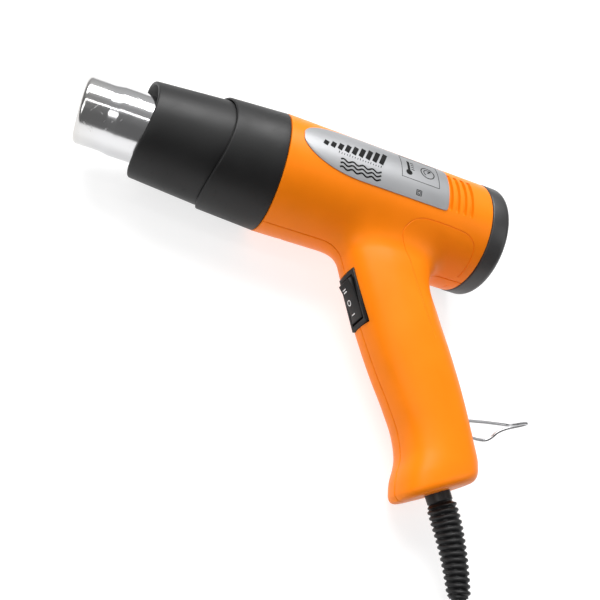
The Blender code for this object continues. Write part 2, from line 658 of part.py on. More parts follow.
def add_strain_relief(tool):
    """Turned about a centreline that leaves the handle straight and then bends a little."""
    bm = bmesh.new()
    rings, sides = [], 16
    place, last_along = Vector((*HANDLE_END, 0.0)) - handle_down() * 8.6, -8.6
    for along, radius in relief_profile():
        share = max(0.0, along - 4.0) / (RELIEF_LENGTH - 4.0)
        heading = Matrix.Rotation(math.radians(-RELIEF_BEND * share), 3, "Z") @ handle_down()
        heading.z = -RELIEF_DROOP * share
        heading.normalize()
        place = place + heading * (along - last_along)
        last_along = along
        across = heading.cross(Vector((0, 0, 1))).normalized()
        over = across.cross(heading)
        rings.append([place + radius * (across * math.cos(a) + over * math.sin(a))
                      for a in (2 * math.pi * i / sides for i in range(sides))])
    skin(bm, rings)
    from_bmesh("strain_relief", bm, tool, "rubber")


def add_cord():
    """The free stretch, the coil with its tie, and the short tail to the plug, in bench axes."""
    wire("power_cord", smooth_route(CORD_ROUTE, 2.5 * CORD_R * 2), CORD_R, None, "rubber")
    wire("cord_tail", smooth_route(TAIL_ROUTE, 2.5 * CORD_R * 2), CORD_R, None, "rubber")
    low = BENCH_Z + TIE_THICKNESS + FIT
    inner, outer, corner = COIL_TURN_R - COIL_WIDTH / 2, COIL_TURN_R + COIL_WIDTH / 2, 3.0
    top = low + COIL_HEIGHT
    ring = [(low, outer - corner), (low + corner, outer), (top - corner, outer), (top, outer - corner),
            (top, inner + corner), (top - corner, inner), (low + corner, inner), (low, inner + corner)]
    coil = turned("cord_coil", ring, None, "rubber", segments=36, hollow=True, axis="Z")
    coil.location = (COIL_AT[0] * MM, COIL_AT[1] * MM, 0.0)
    add_tie(low + COIL_HEIGHT / 2)


def add_tie(middle_z):
    """A strap around the coil's section; the opening clears the curve of the coil."""
    opening = (COIL_WIDTH + 2.2, 16.0, COIL_HEIGHT + 2 * FIT)
    outside = (opening[0] + 2 * TIE_THICKNESS, 12.0, opening[2] + 2 * TIE_THICKNESS)
    turn = math.radians(TIE_AT)
    x, y = COIL_AT[0] + COIL_TURN_R * math.cos(turn), COIL_AT[1] + COIL_TURN_R * math.sin(turn)
    tie = block("coil_tie", outside, (x, y, middle_z), None, "black_plastic", bevel=0.3, turn_z=TIE_AT)
    cut(tie, block("tie_opening", opening, (x, y, middle_z), None, None, turn_z=TIE_AT))


def add_plug():
    """Round two-pin plug lying on the bench at the end of the tail, pins towards -X."""
    x, y = TAIL_ROUTE[-1][0] - FIT, TAIL_ROUTE[-1][1]
    z = BENCH_Z + PLUG_HALF_HEIGHT + 0.1
    shape = [(0.0, 4.8, 4.8), (13.0, 5.6, 5.6), (17.0, 7.5, 7.2), (22.0, 12.0, 11.0), (28.0, 16.4, 14.0),
             (34.0, 17.5, PLUG_HALF_HEIGHT), (45.0, 17.5, PLUG_HALF_HEIGHT), (46.5, 16.4, 13.8)]
    bm = bmesh.new()
    rings = []
    for along, half_width, half_height in shape:
        ring = []
        for i in range(24):
            angle = 2 * math.pi * i / 24
            ring.append((x - along, y + half_width * math.cos(angle), z + half_height * math.sin(angle)))
        rings.append(ring)
    skin(bm, rings)
    from_bmesh("plug_body", bm, None, "rubber")
    face = x - shape[-1][0] - FIT
    for i, side in enumerate((-0.5, 0.5)):
        pin = [(face, PIN_R), (face - 17.5, PIN_R), (face - 19.0, PIN_R - 1.0)]
        made = turned(f"plug_pin_{i + 1}", pin, None, "brass", segments=12)
        made.location = (0.0, (y + side * PIN_SPACING) * MM, z * MM)


def build():
    clear_scene()
    tool = empty("tool_axes", turn_x=TILT)
    empty("switch_seat", (*SWITCH_AT, 0.0), turn_z=180.0 + SWITCH_LEAN, parent=tool)
    empty("loop_pivot", (*LOOP_AT, 0.0), parent=tool)
    add_nozzle(tool)
    add_guards(tool)
    add_heater(tool)
    add_housing(tool)
    add_screws(tool)
    add_label(tool)
    add_rear(tool)
    add_fan_and_motor(tool)
    add_switch(tool)
    add_loop(tool)
    add_handle_parts(tool)
    add_strain_relief(tool)
    add_cord()
    add_plug()


build()
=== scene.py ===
# %% [markdown]
# # A heat gun, piece by piece
# The tool is a two-speed hot-air gun: an orange moulded housing, two black heat guards, a
# chromed nozzle tube, a rocker switch, a wire loop to hang it by and a rubber lead.
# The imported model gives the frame: it says where every piece sits and what moves. The
# notebook lays finer pieces over that frame and gives every surface a finish of its own.

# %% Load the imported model
import math

import bmesh
import bpy
import numpy as np
from mathutils import Matrix, Vector


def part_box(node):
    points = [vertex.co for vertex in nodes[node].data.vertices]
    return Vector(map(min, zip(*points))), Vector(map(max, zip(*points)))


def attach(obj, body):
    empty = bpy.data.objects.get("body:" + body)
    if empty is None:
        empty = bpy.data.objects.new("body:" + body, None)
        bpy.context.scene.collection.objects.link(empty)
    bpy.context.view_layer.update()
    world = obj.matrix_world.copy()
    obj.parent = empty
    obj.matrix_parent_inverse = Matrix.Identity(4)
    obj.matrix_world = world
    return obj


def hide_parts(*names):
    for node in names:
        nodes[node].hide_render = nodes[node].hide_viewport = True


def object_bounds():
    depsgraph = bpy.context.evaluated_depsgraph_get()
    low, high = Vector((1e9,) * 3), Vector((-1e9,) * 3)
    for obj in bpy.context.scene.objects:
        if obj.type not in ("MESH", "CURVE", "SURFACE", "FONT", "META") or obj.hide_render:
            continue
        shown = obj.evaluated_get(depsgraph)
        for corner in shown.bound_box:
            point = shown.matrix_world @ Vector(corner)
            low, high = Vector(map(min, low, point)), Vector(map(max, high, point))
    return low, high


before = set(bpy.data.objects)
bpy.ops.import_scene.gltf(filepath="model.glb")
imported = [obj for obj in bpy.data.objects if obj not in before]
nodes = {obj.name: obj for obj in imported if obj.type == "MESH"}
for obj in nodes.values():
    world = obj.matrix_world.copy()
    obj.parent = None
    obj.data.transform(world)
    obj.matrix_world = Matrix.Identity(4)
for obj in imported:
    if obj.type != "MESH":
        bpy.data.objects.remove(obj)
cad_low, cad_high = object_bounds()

scene = bpy.context.scene

# %% [markdown]
# ## Camera
# The tool is seen from above its left side, a little from the nozzle end, so that the barrel
# runs down to the right and the handle comes towards the viewer. A camera could be aimed with
# a constraint; here its three directions are written down, because the roll matters too.

# %% Camera
eye = Vector((-0.2197, -0.2735, 0.2548))
right = Vector((0.91523, 0.03452, 0.40144))
up = Vector((-0.25764, 0.81617, 0.51719))
back = Vector((-0.30979, -0.57678, 0.75588))

camera = bpy.data.objects.new("studio_camera", bpy.data.cameras.new("studio_camera"))
scene.collection.objects.link(camera)
camera.matrix_world = Matrix.Translation(eye) @ Matrix((right, up, back)).transposed().to_4x4()
camera.data.sensor_width = 36.0
camera.data.lens = 40.98
camera.data.dof.use_dof = False
scene.camera = camera
print("lens", round(camera.data.lens, 1), "mm, eye", [round(v, 3) for v in eye])

# %% [markdown]
# ## Floor and light
# A product table is an opal sheet lit from below, under large soft lamps. The floor is one wide
# plane just under the lowest point of the tool, matt, with a glow that opens the shadows, and
# clear from below, so that the tool's underside can be looked at too. The dome is dark on the
# viewer's side and bright behind the barrel, because bright metal shows what stands around it;
# the camera itself sees a plain pale backdrop in its place. Four area lamps give the plastic
# its long soft highlights.

# %% Node helper
def put(tree, kind, inputs=None, **settings):
    """Adds one node. Each input is a plain value or the socket that feeds it."""
    node = tree.nodes.new("ShaderNode" + kind)
    for name, value in settings.items():
        setattr(node, name, value)
    for key, value in (inputs or {}).items():
        if isinstance(value, bpy.types.NodeSocket):
            tree.links.new(value, node.inputs[key])
        else:
            node.inputs[key].default_value = value
    return node


def ramp(tree, factor, stops):
    """A colour ramp with (position, grey value or colour) stops."""
    node = put(tree, "ValToRGB", {"Fac": factor})
    elements = node.color_ramp.elements
    for i, (position, shade) in enumerate(stops):
        element = elements[i] if i < 2 else elements.new(position)
        element.position = position
        element.color = (shade,) * 3 + (1,) if isinstance(shade, (int, float)) else (*shade, 1)
    return node.outputs["Color"]


def new_material(name):
    """A material with nodes, and its Principled shader."""
    made = bpy.data.materials.new(name)
    made.use_nodes = True
    return made, made.node_tree, made.node_tree.nodes["Principled BSDF"]


# %% Floor
floor_z, floor_reach = cad_low.z - 0.0001, 9
floor_mesh = bpy.data.meshes.new("floor")
floor_mesh.from_pydata([(x * floor_reach, y * floor_reach, floor_z)
                        for x, y in ((-1, -1), (1, -1), (1, 1), (-1, 1))], [], [(0, 1, 2, 3)])
floor = bpy.data.objects.new("floor", floor_mesh)
scene.collection.objects.link(floor)
floor_finish, tree, shader = new_material("floor_paper")
cloud = put(tree, "TexNoise", {"Scale": 3.0, "Detail": 3.0}).outputs["Fac"]
tree.links.new(ramp(tree, cloud, [(0.3, 0.36), (0.7, 0.39)]), shader.inputs["Base Color"])
shader.inputs["Roughness"].default_value = 0.9
shader.inputs["Specular IOR Level"].default_value = 0.1
shader.inputs["Emission Color"].default_value = (1, 1, 1, 1)
shader.inputs["Emission Strength"].default_value = 0.76
clear = put(tree, "BsdfTransparent")
below = put(tree, "NewGeometry").outputs["Backfacing"]
sheet = put(tree, "MixShader", {0: below, 1: shader.outputs[0], 2: clear.outputs[0]})
tree.links.new(sheet.outputs[0], tree.nodes["Material Output"].inputs["Surface"])
floor_mesh.materials.append(floor_finish)
print("floor at z =", round(floor_z, 4))

# %% Lamps
world = bpy.data.worlds.new("studio_dome")
scene.world = world
world.use_nodes = True
tree = world.node_tree
bright_side = (0.0, 0.8, 0.6)
sky = put(tree, "VectorMath", {0: put(tree, "TexCoord").outputs["Generated"], 1: bright_side},
          operation="DOT_PRODUCT").outputs["Value"]
share = put(tree, "MapRange", {"Value": sky, "From Min": -1.0, "From Max": 1.0}).outputs[0]
dome = ramp(tree, share, [(0.10, 0.15), (0.42, 0.15), (0.68, 0.21), (0.85, 0.34), (1.0, 0.56)])
by_camera = put(tree, "LightPath").outputs["Is Camera Ray"]
seen_plain = put(tree, "Mix", {"Factor": by_camera, "A": dome, "B": (0.84, 0.84, 0.84, 1)},
                 data_type="RGBA")
tree.links.new(seen_plain.outputs["Result"], tree.nodes["Background"].inputs["Color"])
scene.view_settings.view_transform = "Standard"


def lamp(name, at, aim, size, power):
    """A rectangular area lamp, aimed at a point; sizes in metres, power in watts."""
    data = bpy.data.lights.new(name, "AREA")
    data.shape = "RECTANGLE"
    data.size, data.size_y = size
    data.energy = power
    made = bpy.data.objects.new(name, data)
    scene.collection.objects.link(made)
    made.location = at
    made.rotation_euler = (Vector(aim) - Vector(at)).to_track_quat("-Z", "Y").to_euler()
    return made


lamp("key_lamp", (-0.30, 0.60, 0.95), (-0.11, -0.05, 0.0), (1.3, 0.5), 18.6)
lamp("front_lamp", (-0.85, -0.55, 0.80), (-0.11, -0.05, 0.0), (0.5, 0.8), 3.0)
lamp("side_lamp", (0.85, -0.25, 0.75), (-0.08, -0.05, 0.0), (0.4, 0.8), 1.9)
lamp("strip_lamp", (-0.15, -0.22, 1.1), (-0.15, 0.0, 0.0), (1.3, 0.05), 1.3)

# %% [markdown]
# ## Shared effects
# Real surfaces share a few habits: moulded plastic has a fine spark-eroded grain and small
# changes of tone, edges rub smooth and pale, and everything picks up fine scuffs. Each habit is
# a node group with its own inputs, so that every finish can use it at its own size.

# %% Group helper
def group(name, inputs, outputs):
    """An empty shader group with float inputs (name, default) and outputs (name, kind)."""
    tree = bpy.data.node_groups.new(name, "ShaderNodeTree")
    for label, value in inputs:
        socket = tree.interface.new_socket(label, in_out="INPUT", socket_type="NodeSocketFloat")
        socket.default_value = value
    for label, kind in outputs:
        tree.interface.new_socket(label, in_out="OUTPUT", socket_type="NodeSocket" + kind)
    return tree, tree.nodes.new("NodeGroupInput").outputs, tree.nodes.new("NodeGroupOutput").inputs


def use(tree, name, **values):
    """Places a group in a material and sets its inputs."""
    node = put(tree, "Group", node_tree=bpy.data.node_groups[name])
    for label, value in values.items():
        node.inputs[label.replace("_", " ")].default_value = value
    return node.outputs


# %% Grain, wear and scuffs
tree, given, out = group("moulded grain", [("Scale", 900.0), ("Cloud Scale", 45.0)],
                         [("Height", "Float"), ("Tone", "Float")])
spot = put(tree, "TexCoord").outputs["Object"]
fine = put(tree, "TexNoise", {"Vector": spot, "Scale": given["Scale"], "Detail": 3.0,
                              "Roughness": 0.6}).outputs["Fac"]
cells = put(tree, "TexVoronoi", {"Vector": spot, "Scale": given["Scale"]},
            feature="SMOOTH_F1").outputs["Distance"]
grain = put(tree, "Math", {0: fine, 1: cells}, operation="MULTIPLY")
tree.links.new(grain.outputs[0], out["Height"])
cloud = put(tree, "TexNoise", {"Vector": spot, "Scale": given["Cloud Scale"], "Detail": 4.0})
tree.links.new(cloud.outputs["Fac"], out["Tone"])

tree, given, out = group("rubbed edges", [("Start", 0.53), ("End", 0.62), ("Break Up", 260.0)],
                         [("Mask", "Float")])
pointed = put(tree, "NewGeometry").outputs["Pointiness"]
patchy = put(tree, "TexNoise", {"Vector": put(tree, "TexCoord").outputs["Object"],
                                "Scale": given["Break Up"], "Detail": 4.0}).outputs["Fac"]
rim = put(tree, "MapRange", {"Value": pointed, "From Min": given["Start"],
                             "From Max": given["End"]})
patchy = put(tree, "MapRange", {"Value": patchy, "From Min": 0.42, "From Max": 0.66})
mask = put(tree, "Math", {0: rim.outputs[0], 1: patchy.outputs[0]}, operation="MULTIPLY")
tree.links.new(mask.outputs[0], out["Mask"])

tree, given, out = group("fine scuffs", [("Scale", 60.0), ("Stretch", 14.0), ("Amount", 0.5)],
                         [("Mask", "Float")])
spot = put(tree, "TexCoord").outputs["Object"]
masks = []
for turn in (0.5, -0.9):
    turned = put(tree, "VectorRotate", {"Vector": spot, "Angle": turn}, rotation_type="Z_AXIS")
    across = put(tree, "CombineXYZ", {"X": 1.0, "Y": given["Stretch"], "Z": 2.0})
    drawn = put(tree, "VectorMath", {0: turned.outputs[0], 1: across.outputs[0]},
                operation="MULTIPLY")
    lines = put(tree, "TexNoise", {"Vector": drawn.outputs[0], "Scale": given["Scale"],
                                   "Detail": 2.0})
    masks.append(put(tree, "MapRange", {"Value": lines.outputs["Fac"], "From Min": 0.66,
                                        "From Max": 0.74}).outputs[0])
either = put(tree, "Math", {0: masks[0], 1: masks[1]}, operation="MAXIMUM")
scuffs = put(tree, "Math", {0: either.outputs[0], 1: given["Amount"]}, operation="MULTIPLY")
tree.links.new(scuffs.outputs[0], out["Mask"])
print("groups:", [g.name for g in bpy.data.node_groups])


# %% A finish from the shared effects
def roughen(tree, shader, marks, amount, base):
    """Feeds the roughness: a base value, and more where the scuff marks are."""
    total = put(tree, "Math", {0: marks, 1: amount, 2: base}, operation="MULTIPLY_ADD")
    tree.links.new(total.outputs[0], shader.inputs["Roughness"])


def emboss(tree, shader, height, distance, strength):
    """Feeds the normal from a height map."""
    bump = put(tree, "Bump", {"Height": height, "Distance": distance, "Strength": strength})
    tree.links.new(bump.outputs["Normal"], shader.inputs["Normal"])


def finish(name, colour, rubbed, roughness, metallic=0.0, grain=900.0, depth=0.00002, wear=0.5,
           scuffs=0.3, coat=0.0, tone=0.12, stretch=14.0, specular=0.5):
    """A procedural finish: base colour with clouds, pale rubbed edges, scuffed gloss, fine grain.

    colour and rubbed are linear colours, roughness is (polished, dull), depth is in metres and
    tone is the share by which the clouds are darker and lighter than the colour."""
    made, tree, shader = new_material(name)
    skin = use(tree, "moulded grain", Scale=grain, Cloud_Scale=45.0)
    edges = use(tree, "rubbed edges", Start=0.53, End=0.62)["Mask"]
    marks = use(tree, "fine scuffs", Amount=scuffs, Stretch=stretch)["Mask"]
    darker = tuple(c * (1 - tone) for c in colour)
    lighter = tuple(min(1.0, c * (1 + tone)) for c in colour)
    clouds = ramp(tree, skin["Tone"], [(0.3, darker), (0.7, lighter)])
    worn = put(tree, "Math", {0: edges, 1: wear}, operation="MULTIPLY").outputs[0]
    mix = put(tree, "Mix", {"Factor": worn, "A": clouds, "B": (*rubbed, 1)}, data_type="RGBA")
    tree.links.new(mix.outputs["Result"], shader.inputs["Base Color"])
    dull = put(tree, "MapRange", {"Value": skin["Tone"], "From Min": 0.3, "From Max": 0.7,
                                  "To Min": roughness[0], "To Max": roughness[1]}).outputs[0]
    roughen(tree, shader, marks, 0.35, dull)
    emboss(tree, shader, skin["Height"], depth, 0.6)
    shader.inputs["Metallic"].default_value = metallic
    shader.inputs["Specular IOR Level"].default_value = specular
    shader.inputs["Coat Weight"].default_value = coat
    shader.inputs["Coat Roughness"].default_value = 0.12
    return made


# %% [markdown]
# ## Putting meshes together
# Three small helpers carry the rest. Points are easiest to think of in millimetres in the
# tool's own axes: X along the barrel, Y up away from the handle, Z out of the left side. The
# tool lies on its right side and leans a few degrees, so one matrix lays it on the bench.

# %% Axes and mesh helpers
lean = math.radians(5.8)
tool_axes = Matrix.Rotation(lean, 4, "X") @ Matrix.Scale(0.001, 4)
bench_axes = Matrix.Scale(0.001, 4)


def piece(name, points, faces, finish_with, axes=tool_axes, sharp=32.0, body="tool"):
    """A smooth-shaded mesh from points in millimetres, riding on a body of the frame.

    Edges that fold by more than sharp degrees stay crisp."""
    mesh = bpy.data.meshes.new(name)
    mesh.from_pydata([axes @ Vector(p) for p in points], [], faces)
    bm = bmesh.new()
    bm.from_mesh(mesh)
    bmesh.ops.recalc_face_normals(bm, faces=bm.faces)
    bm.to_mesh(mesh)
    bm.free()
    mesh.shade_smooth()
    mesh.set_sharp_from_angle(angle=math.radians(sharp))
    if finish_with:
        mesh.materials.append(finish_with)
    made = bpy.data.objects.new(name, mesh)
    scene.collection.objects.link(made)
    if body:
        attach(made, body)
    return made


def tube_faces(rings, around, loop_back=False):
    """Quads between rings of points that follow each other.

    The ends are closed with a face each, or the last ring is joined to the first."""
    faces = []
    for r in range(rings if loop_back else rings - 1):
        n = (r + 1) % rings
        for i in range(around):
            j = (i + 1) % around
            faces.append((r * around + i, r * around + j, n * around + j, n * around + i))
    if not loop_back:
        faces.append(tuple(range(around)))
        faces.append(tuple((rings - 1) * around + i for i in range(around)))
    return faces


def settle(thing):
    """Turns a piece with modifiers into the plain mesh that they make."""
    graph = bpy.context.evaluated_depsgraph_get()
    mesh = bpy.data.meshes.new_from_object(thing.evaluated_get(graph))
    thing.modifiers.clear()
    thing.data = mesh
    return thing


def soften(thing, width, steps=2, angle=32.0):
    """Rounds the hard edges of a piece by a width in millimetres, as a mould does."""
    bevel = thing.modifiers.new("soft edges", "BEVEL")
    bevel.width = width * 0.001
    bevel.segments = steps
    bevel.limit_method = "ANGLE"
    bevel.angle_limit = math.radians(angle)
    bevel.use_clamp_overlap = True
    return settle(thing)


# %% [markdown]
# ## The lead
# The lead is a round rubber cord, 7 mm thick and about 1.9 m long. It leaves the sleeve at the
# handle's end, comes down to the bench and is put away as a small tied coil with the plug beside
# it. A physics rope would do it, but the turns would be loose; here the coil is planned turn by
# turn, like thread on a spool, and then a few rounds of pushing apart settle the crossings.

# %% Plan of the coil
cord_r = 3.5
coil_at = np.array((-47.0, -286.0))
coil_start = math.radians(20.6)
# (turns wound so far, radius, height of the cord's middle) in millimetres
wind = [(0.0, 59.6, -28.6), (0.42, 53.8, -28.6), (3.0, 35.8, -28.6), (3.4, 35.8, -21.4),
        (5.46, 50.4, -21.4), (5.86, 48.2, -14.2), (6.307, 44.4, -14.2)]
turns, radii, heights = (np.array(column) for column in zip(*wind))
steps_per_turn = 96
along = np.arange(0, turns[-1], 1 / steps_per_turn)
stage_of = np.clip(np.searchsorted(turns, along, side="right") - 1, 0, len(turns) - 2)
share = (along - turns[stage_of]) / (turns[stage_of + 1] - turns[stage_of])
reach = radii[stage_of] * (1 - share) + radii[stage_of + 1] * share
height = heights[stage_of] * (1 - share) + heights[stage_of + 1] * share
even = np.hanning(27)[1:-1] / np.hanning(27).sum()     # a soft start and end for every change
reach, height = (np.convolve(np.pad(v, 12, mode="edge"), even, mode="valid")
                 for v in (reach, height))
angle = coil_start - 2 * np.pi * along
coil_points = np.column_stack((coil_at[0] + reach * np.cos(angle),
                               coil_at[1] + reach * np.sin(angle), height))


def through(knots, spacing):
    """Evenly spaced points on a smooth curve through the knots."""
    knots = np.array(knots, float)
    ends = np.vstack((2 * knots[0] - knots[1], knots, 2 * knots[-1] - knots[-2]))
    fine = []
    for a, b, c, d in zip(ends, ends[1:], ends[2:], ends[3:]):
        t = np.linspace(0, 1, 40, endpoint=False)[:, None]
        fine.append(0.5 * (2 * b + (c - a) * t + (2 * a - 5 * b + 4 * c - d) * t ** 2
                           + (3 * b - a - 3 * c + d) * t ** 3))
    fine = np.vstack(fine + [knots[-1:]])
    gone = np.concatenate(([0], np.cumsum(np.linalg.norm(np.diff(fine, axis=0), axis=1))))
    places = np.linspace(0, gone[-1], max(3, round(gone[-1] / spacing) + 1))
    return np.column_stack([np.interp(places, gone, fine[:, k]) for k in range(3)])


knot_spacing = 2.6
free_run = through([(-21.9, -201.6, -22.0), (-18.4, -219.0, -26.0), (-9.0, -240.5, -29.2),
                    coil_points[0]], knot_spacing)
tail = through([coil_points[-1], (-70.0, -327.6, -14.6), (-92.0, -326.8, -17.6),
                (-109.2, -326.5, -18.6)], knot_spacing)
lead = np.vstack((free_run, coil_points[1:], tail[1:]))
print("lead planned:", len(lead), "points")


# %% Settle the turns
def settle_turns(line, thickness, low, rounds=60):
    """Pushes neighbouring turns apart, keeps them above the bench and keeps the line smooth."""
    line = line.copy()
    held = np.r_[0:6, len(line) - 6:len(line)]                  # both ends stay where they are
    kept = line[held].copy()
    far = int(2.2 * thickness / 2.4)                            # nearer knots are one bend
    order = np.arange(len(line))
    apart = np.abs(np.subtract.outer(order, order)) > far
    for _ in range(rounds):
        gap = line[:, None, :] - line[None, :, :]
        distance = np.sqrt((gap ** 2).sum(2)) + 1e-9
        short = (thickness - distance) / distance * 0.3
        push = np.where(apart & (distance < thickness), short, 0.0)
        line += (gap * push[:, :, None]).sum(1)
        line[1:-1] += 0.12 * (line[:-2] + line[2:] - 2 * line[1:-1])
        line[:, 2] = np.maximum(line[:, 2], low)
        line[held] = kept
    return line


tie_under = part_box("coil_tie")[0].z * 1000 + 1.4            # the tie's inside, under the bundle
lead = settle_turns(lead, 2 * cord_r + 0.25, tie_under + cord_r)

# %% Rubber and the cord itself
def round_wire(name, places, radius, finish_with, body, around, between_knots):
    """A smooth round wire through places in metres, as a curve with a round bevel."""
    curve = bpy.data.curves.new(name, "CURVE")
    curve.dimensions = "3D"
    curve.bevel_depth = radius
    curve.bevel_resolution = around
    curve.resolution_u = between_knots
    curve.use_fill_caps = True
    spline = curve.splines.new("BEZIER")
    spline.bezier_points.add(len(places) - 1)
    for knot, place in zip(spline.bezier_points, places):
        knot.co = place
        knot.handle_left_type = knot.handle_right_type = "AUTO"
    curve.materials.append(finish_with)
    made = bpy.data.objects.new(name, curve)
    scene.collection.objects.link(made)
    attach(made, body)
    return made


rubber = finish("cord_rubber", (0.009, 0.009, 0.0095), (0.06, 0.06, 0.06), (0.38, 0.52),
                grain=700.0, depth=0.00003, wear=0.4, scuffs=0.5, specular=0.35)
knots = lead[::4] if (len(lead) - 1) % 4 == 0 else np.vstack((lead[:-2:4], lead[-1:]))
lead_cord = round_wire("lead_cord", [Vector(p) * 0.001 for p in knots], cord_r * 0.001, rubber,
                       "tool", around=5, between_knots=5)
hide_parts("power_cord", "cord_coil", "cord_tail")
print("cord knots:", len(knots))

# %% [markdown]
# ## The tie, the plug and the ribbed sleeve
# A strap holds the coil, a round two-pin plug ends the lead, and where the lead leaves the
# handle a soft rubber sleeve keeps it from kinking. The sleeve carries a screw-like rib, so it
# is swept as a tube whose radius follows a thread; modelling separate rings would miss the
# slant. The plug is a loft of ovals with grip ribs in its waist.

# %% Tie
def strap(half, corner, thick, steps=6):
    """Outline of a rounded rectangle of half sizes half, grown outwards by thick."""
    out = []
    for turn, (sx, sz) in enumerate(((1, 1), (-1, 1), (-1, -1), (1, -1))):
        for k in range(steps + 1):
            a = math.radians(90 * turn + 90 * k / steps)
            out.append(((half[0] - corner) * sx + (corner + thick) * math.cos(a),
                        (half[1] - corner) * sz + (corner + thick) * math.sin(a)))
    return out


tie_angle, tie_corner = math.radians(140.0), 3.0
outward = np.array((math.cos(tie_angle), math.sin(tie_angle)))
flat = lead[:, :2] - coil_at
near = (np.abs(flat @ np.array((-outward[1], outward[0]))) < 6.5) & (flat @ outward > 0)
reach_here, height_here = (flat @ outward)[near], lead[near][:, 2]
middle = ((reach_here.max() + reach_here.min()) / 2, (height_here.max() + height_here.min()) / 2)
half = ((reach_here.max() - reach_here.min()) / 2 + cord_r + 0.15,
        (height_here.max() - height_here.min()) / 2 + cord_r + 0.1)
# (place across the strap, thickness there): its outside one way, then its inside back again
section = [(-5.6, 0.8), (-5.2, 1.15), (5.2, 1.15), (5.6, 0.8),
           (5.6, 0.05), (5.2, 0.05), (-5.2, 0.05), (-5.6, 0.05)]
points = []
for across, thick in section:
    points += [(x, across, z) for x, z in strap(half, tie_corner, thick)]
tie_cloth = finish("strap_cloth", (0.02, 0.02, 0.022), (0.08, 0.08, 0.08), (0.75, 0.9),
                   grain=1500.0, depth=0.00008, wear=0.3, scuffs=0.1)
tie_middle = Vector((*(coil_at + outward * middle[0]), middle[1]))
place_tie = bench_axes @ Matrix.Translation(tie_middle) @ Matrix.Rotation(tie_angle, 4, "Z")
lead_tie = piece("lead_tie", points,
                 tube_faces(len(section), len(points) // len(section), loop_back=True),
                 tie_cloth, place_tie)
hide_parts("coil_tie")
print("tie holds a bundle of", [round(2 * h, 1) for h in half], "mm")

# %% Plug
plug_low, plug_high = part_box("plug_body")
plug_end = (plug_high.x * 1000, (plug_low.y + plug_high.y) * 500, (plug_low.z + plug_high.z) * 500)
# (distance from the lead's side, half width, half height)
stations = through([(0.0, 4.9, 4.8), (8.0, 5.2, 5.2), (13.0, 5.8, 5.7), (17.0, 7.6, 7.2),
                    (22.0, 12.0, 11.0), (28.0, 16.2, 13.9), (33.0, 17.4, 14.7),
                    (45.0, 17.4, 14.7)], 0.8)
stations = [*stations, (46.0, 17.0, 14.3), (46.5, 16.2, 13.5)]
points, plug_sides = [], 64
for s, wide, tall in stations:
    rib = 0.45 * max(0.0, math.sin(s * 2.6)) * min(1.0, max(0.0, (s - 2) / 3)) * (s < 17)
    for i in range(plug_sides):
        a = 2 * math.pi * i / plug_sides
        grip = 0.5 * max(0.0, math.cos(16 * a)) * (1 if 30 < s < 43 else 0)
        points.append((plug_end[0] - s, plug_end[1] + (wide - rib - grip) * math.cos(a),
                       plug_end[2] + (tall - rib - grip) * math.sin(a)))
lead_plug = piece("lead_plug", points, tube_faces(len(stations), plug_sides), rubber, bench_axes)
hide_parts("plug_body")

# %% Sleeve
def sweep(centres, sides, radius_at, start_up=(0, 0, 1)):
    """Rings around a centreline; radius_at(k, angle) gives each point's distance from it."""
    centres = [Vector(c) for c in centres]
    points = []
    for k, here in enumerate(centres):
        heading = (centres[min(k + 1, len(centres) - 1)] - centres[max(k - 1, 0)]).normalized()
        side = heading.cross(Vector(start_up)).normalized()
        over = side.cross(heading)
        for i in range(sides):
            a = 2 * math.pi * i / sides
            points.append(here + (side * math.cos(a) + over * math.sin(a)) * radius_at(k, a))
    return points, tube_faces(len(centres), sides)


handle_lean = math.radians(20.6)
handle_down = Vector((math.sin(handle_lean), -math.cos(handle_lean), 0.0))
handle_end = Vector((-33.0, -158.0, 0.0))
relief_length, relief_bend, relief_droop = 47.6, 14.0, 0.10
inside = 7.0                          # how far the sleeve starts within the handle
step, marks = 0.4, []
spot, s = handle_end - handle_down * inside, -inside
while s < relief_length:
    share = max(0.0, s - 4.0) / (relief_length - 4.0)
    heading = Matrix.Rotation(math.radians(-relief_bend * share), 3, "Z") @ handle_down
    heading.z = -relief_droop * share
    marks.append((s, spot.copy()))
    spot, s = spot + heading.normalized() * step, s + step


def sleeve_radius(k, a):
    """Smooth collar first, then a slanting rib that gets slimmer towards the lead."""
    s = marks[k][0]
    if s < 4.6:
        return 6.3
    fade = min(1.0, (s - 4.6) / 1.2, (relief_length - 0.4 - s) / 1.5)
    full = 7.4 - 2.0 * max(0.0, (s - 14.0) / (relief_length - 14.0)) - 0.5 * (s < 6.0)
    rib_pitch = 2.75
    thread = 0.5 + 0.5 * math.cos(2 * math.pi * (s / rib_pitch - a / (2 * math.pi)))
    return full - 1.15 * (1 - max(0.0, fade)) - 1.1 * (1 - min(1.0, 1.5 * thread)) * max(0.0, fade)


points, faces = sweep([m[1] for m in marks], 48, sleeve_radius)
sleeve = piece("cord_sleeve", points, faces, rubber, sharp=60)
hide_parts("strain_relief")
print("sleeve rings:", len(marks))

# %% [markdown]
# ## The housing
# The housing is two moulded halves: a round barrel that flows into a leaning grip. Boxes and
# bevels never give that flow. A formula does: the distance to the barrel and the distance to
# the grip are blended, so that the zero surface has a true fillet where they meet. A rough
# voxel mesh of the two is pulled onto the zero surface, then cut into halves and thickened.

# %% Sections of the grip
barrel_r, wall = 33.2, 2.3
front_x, rear_x = -137.1, -13.0
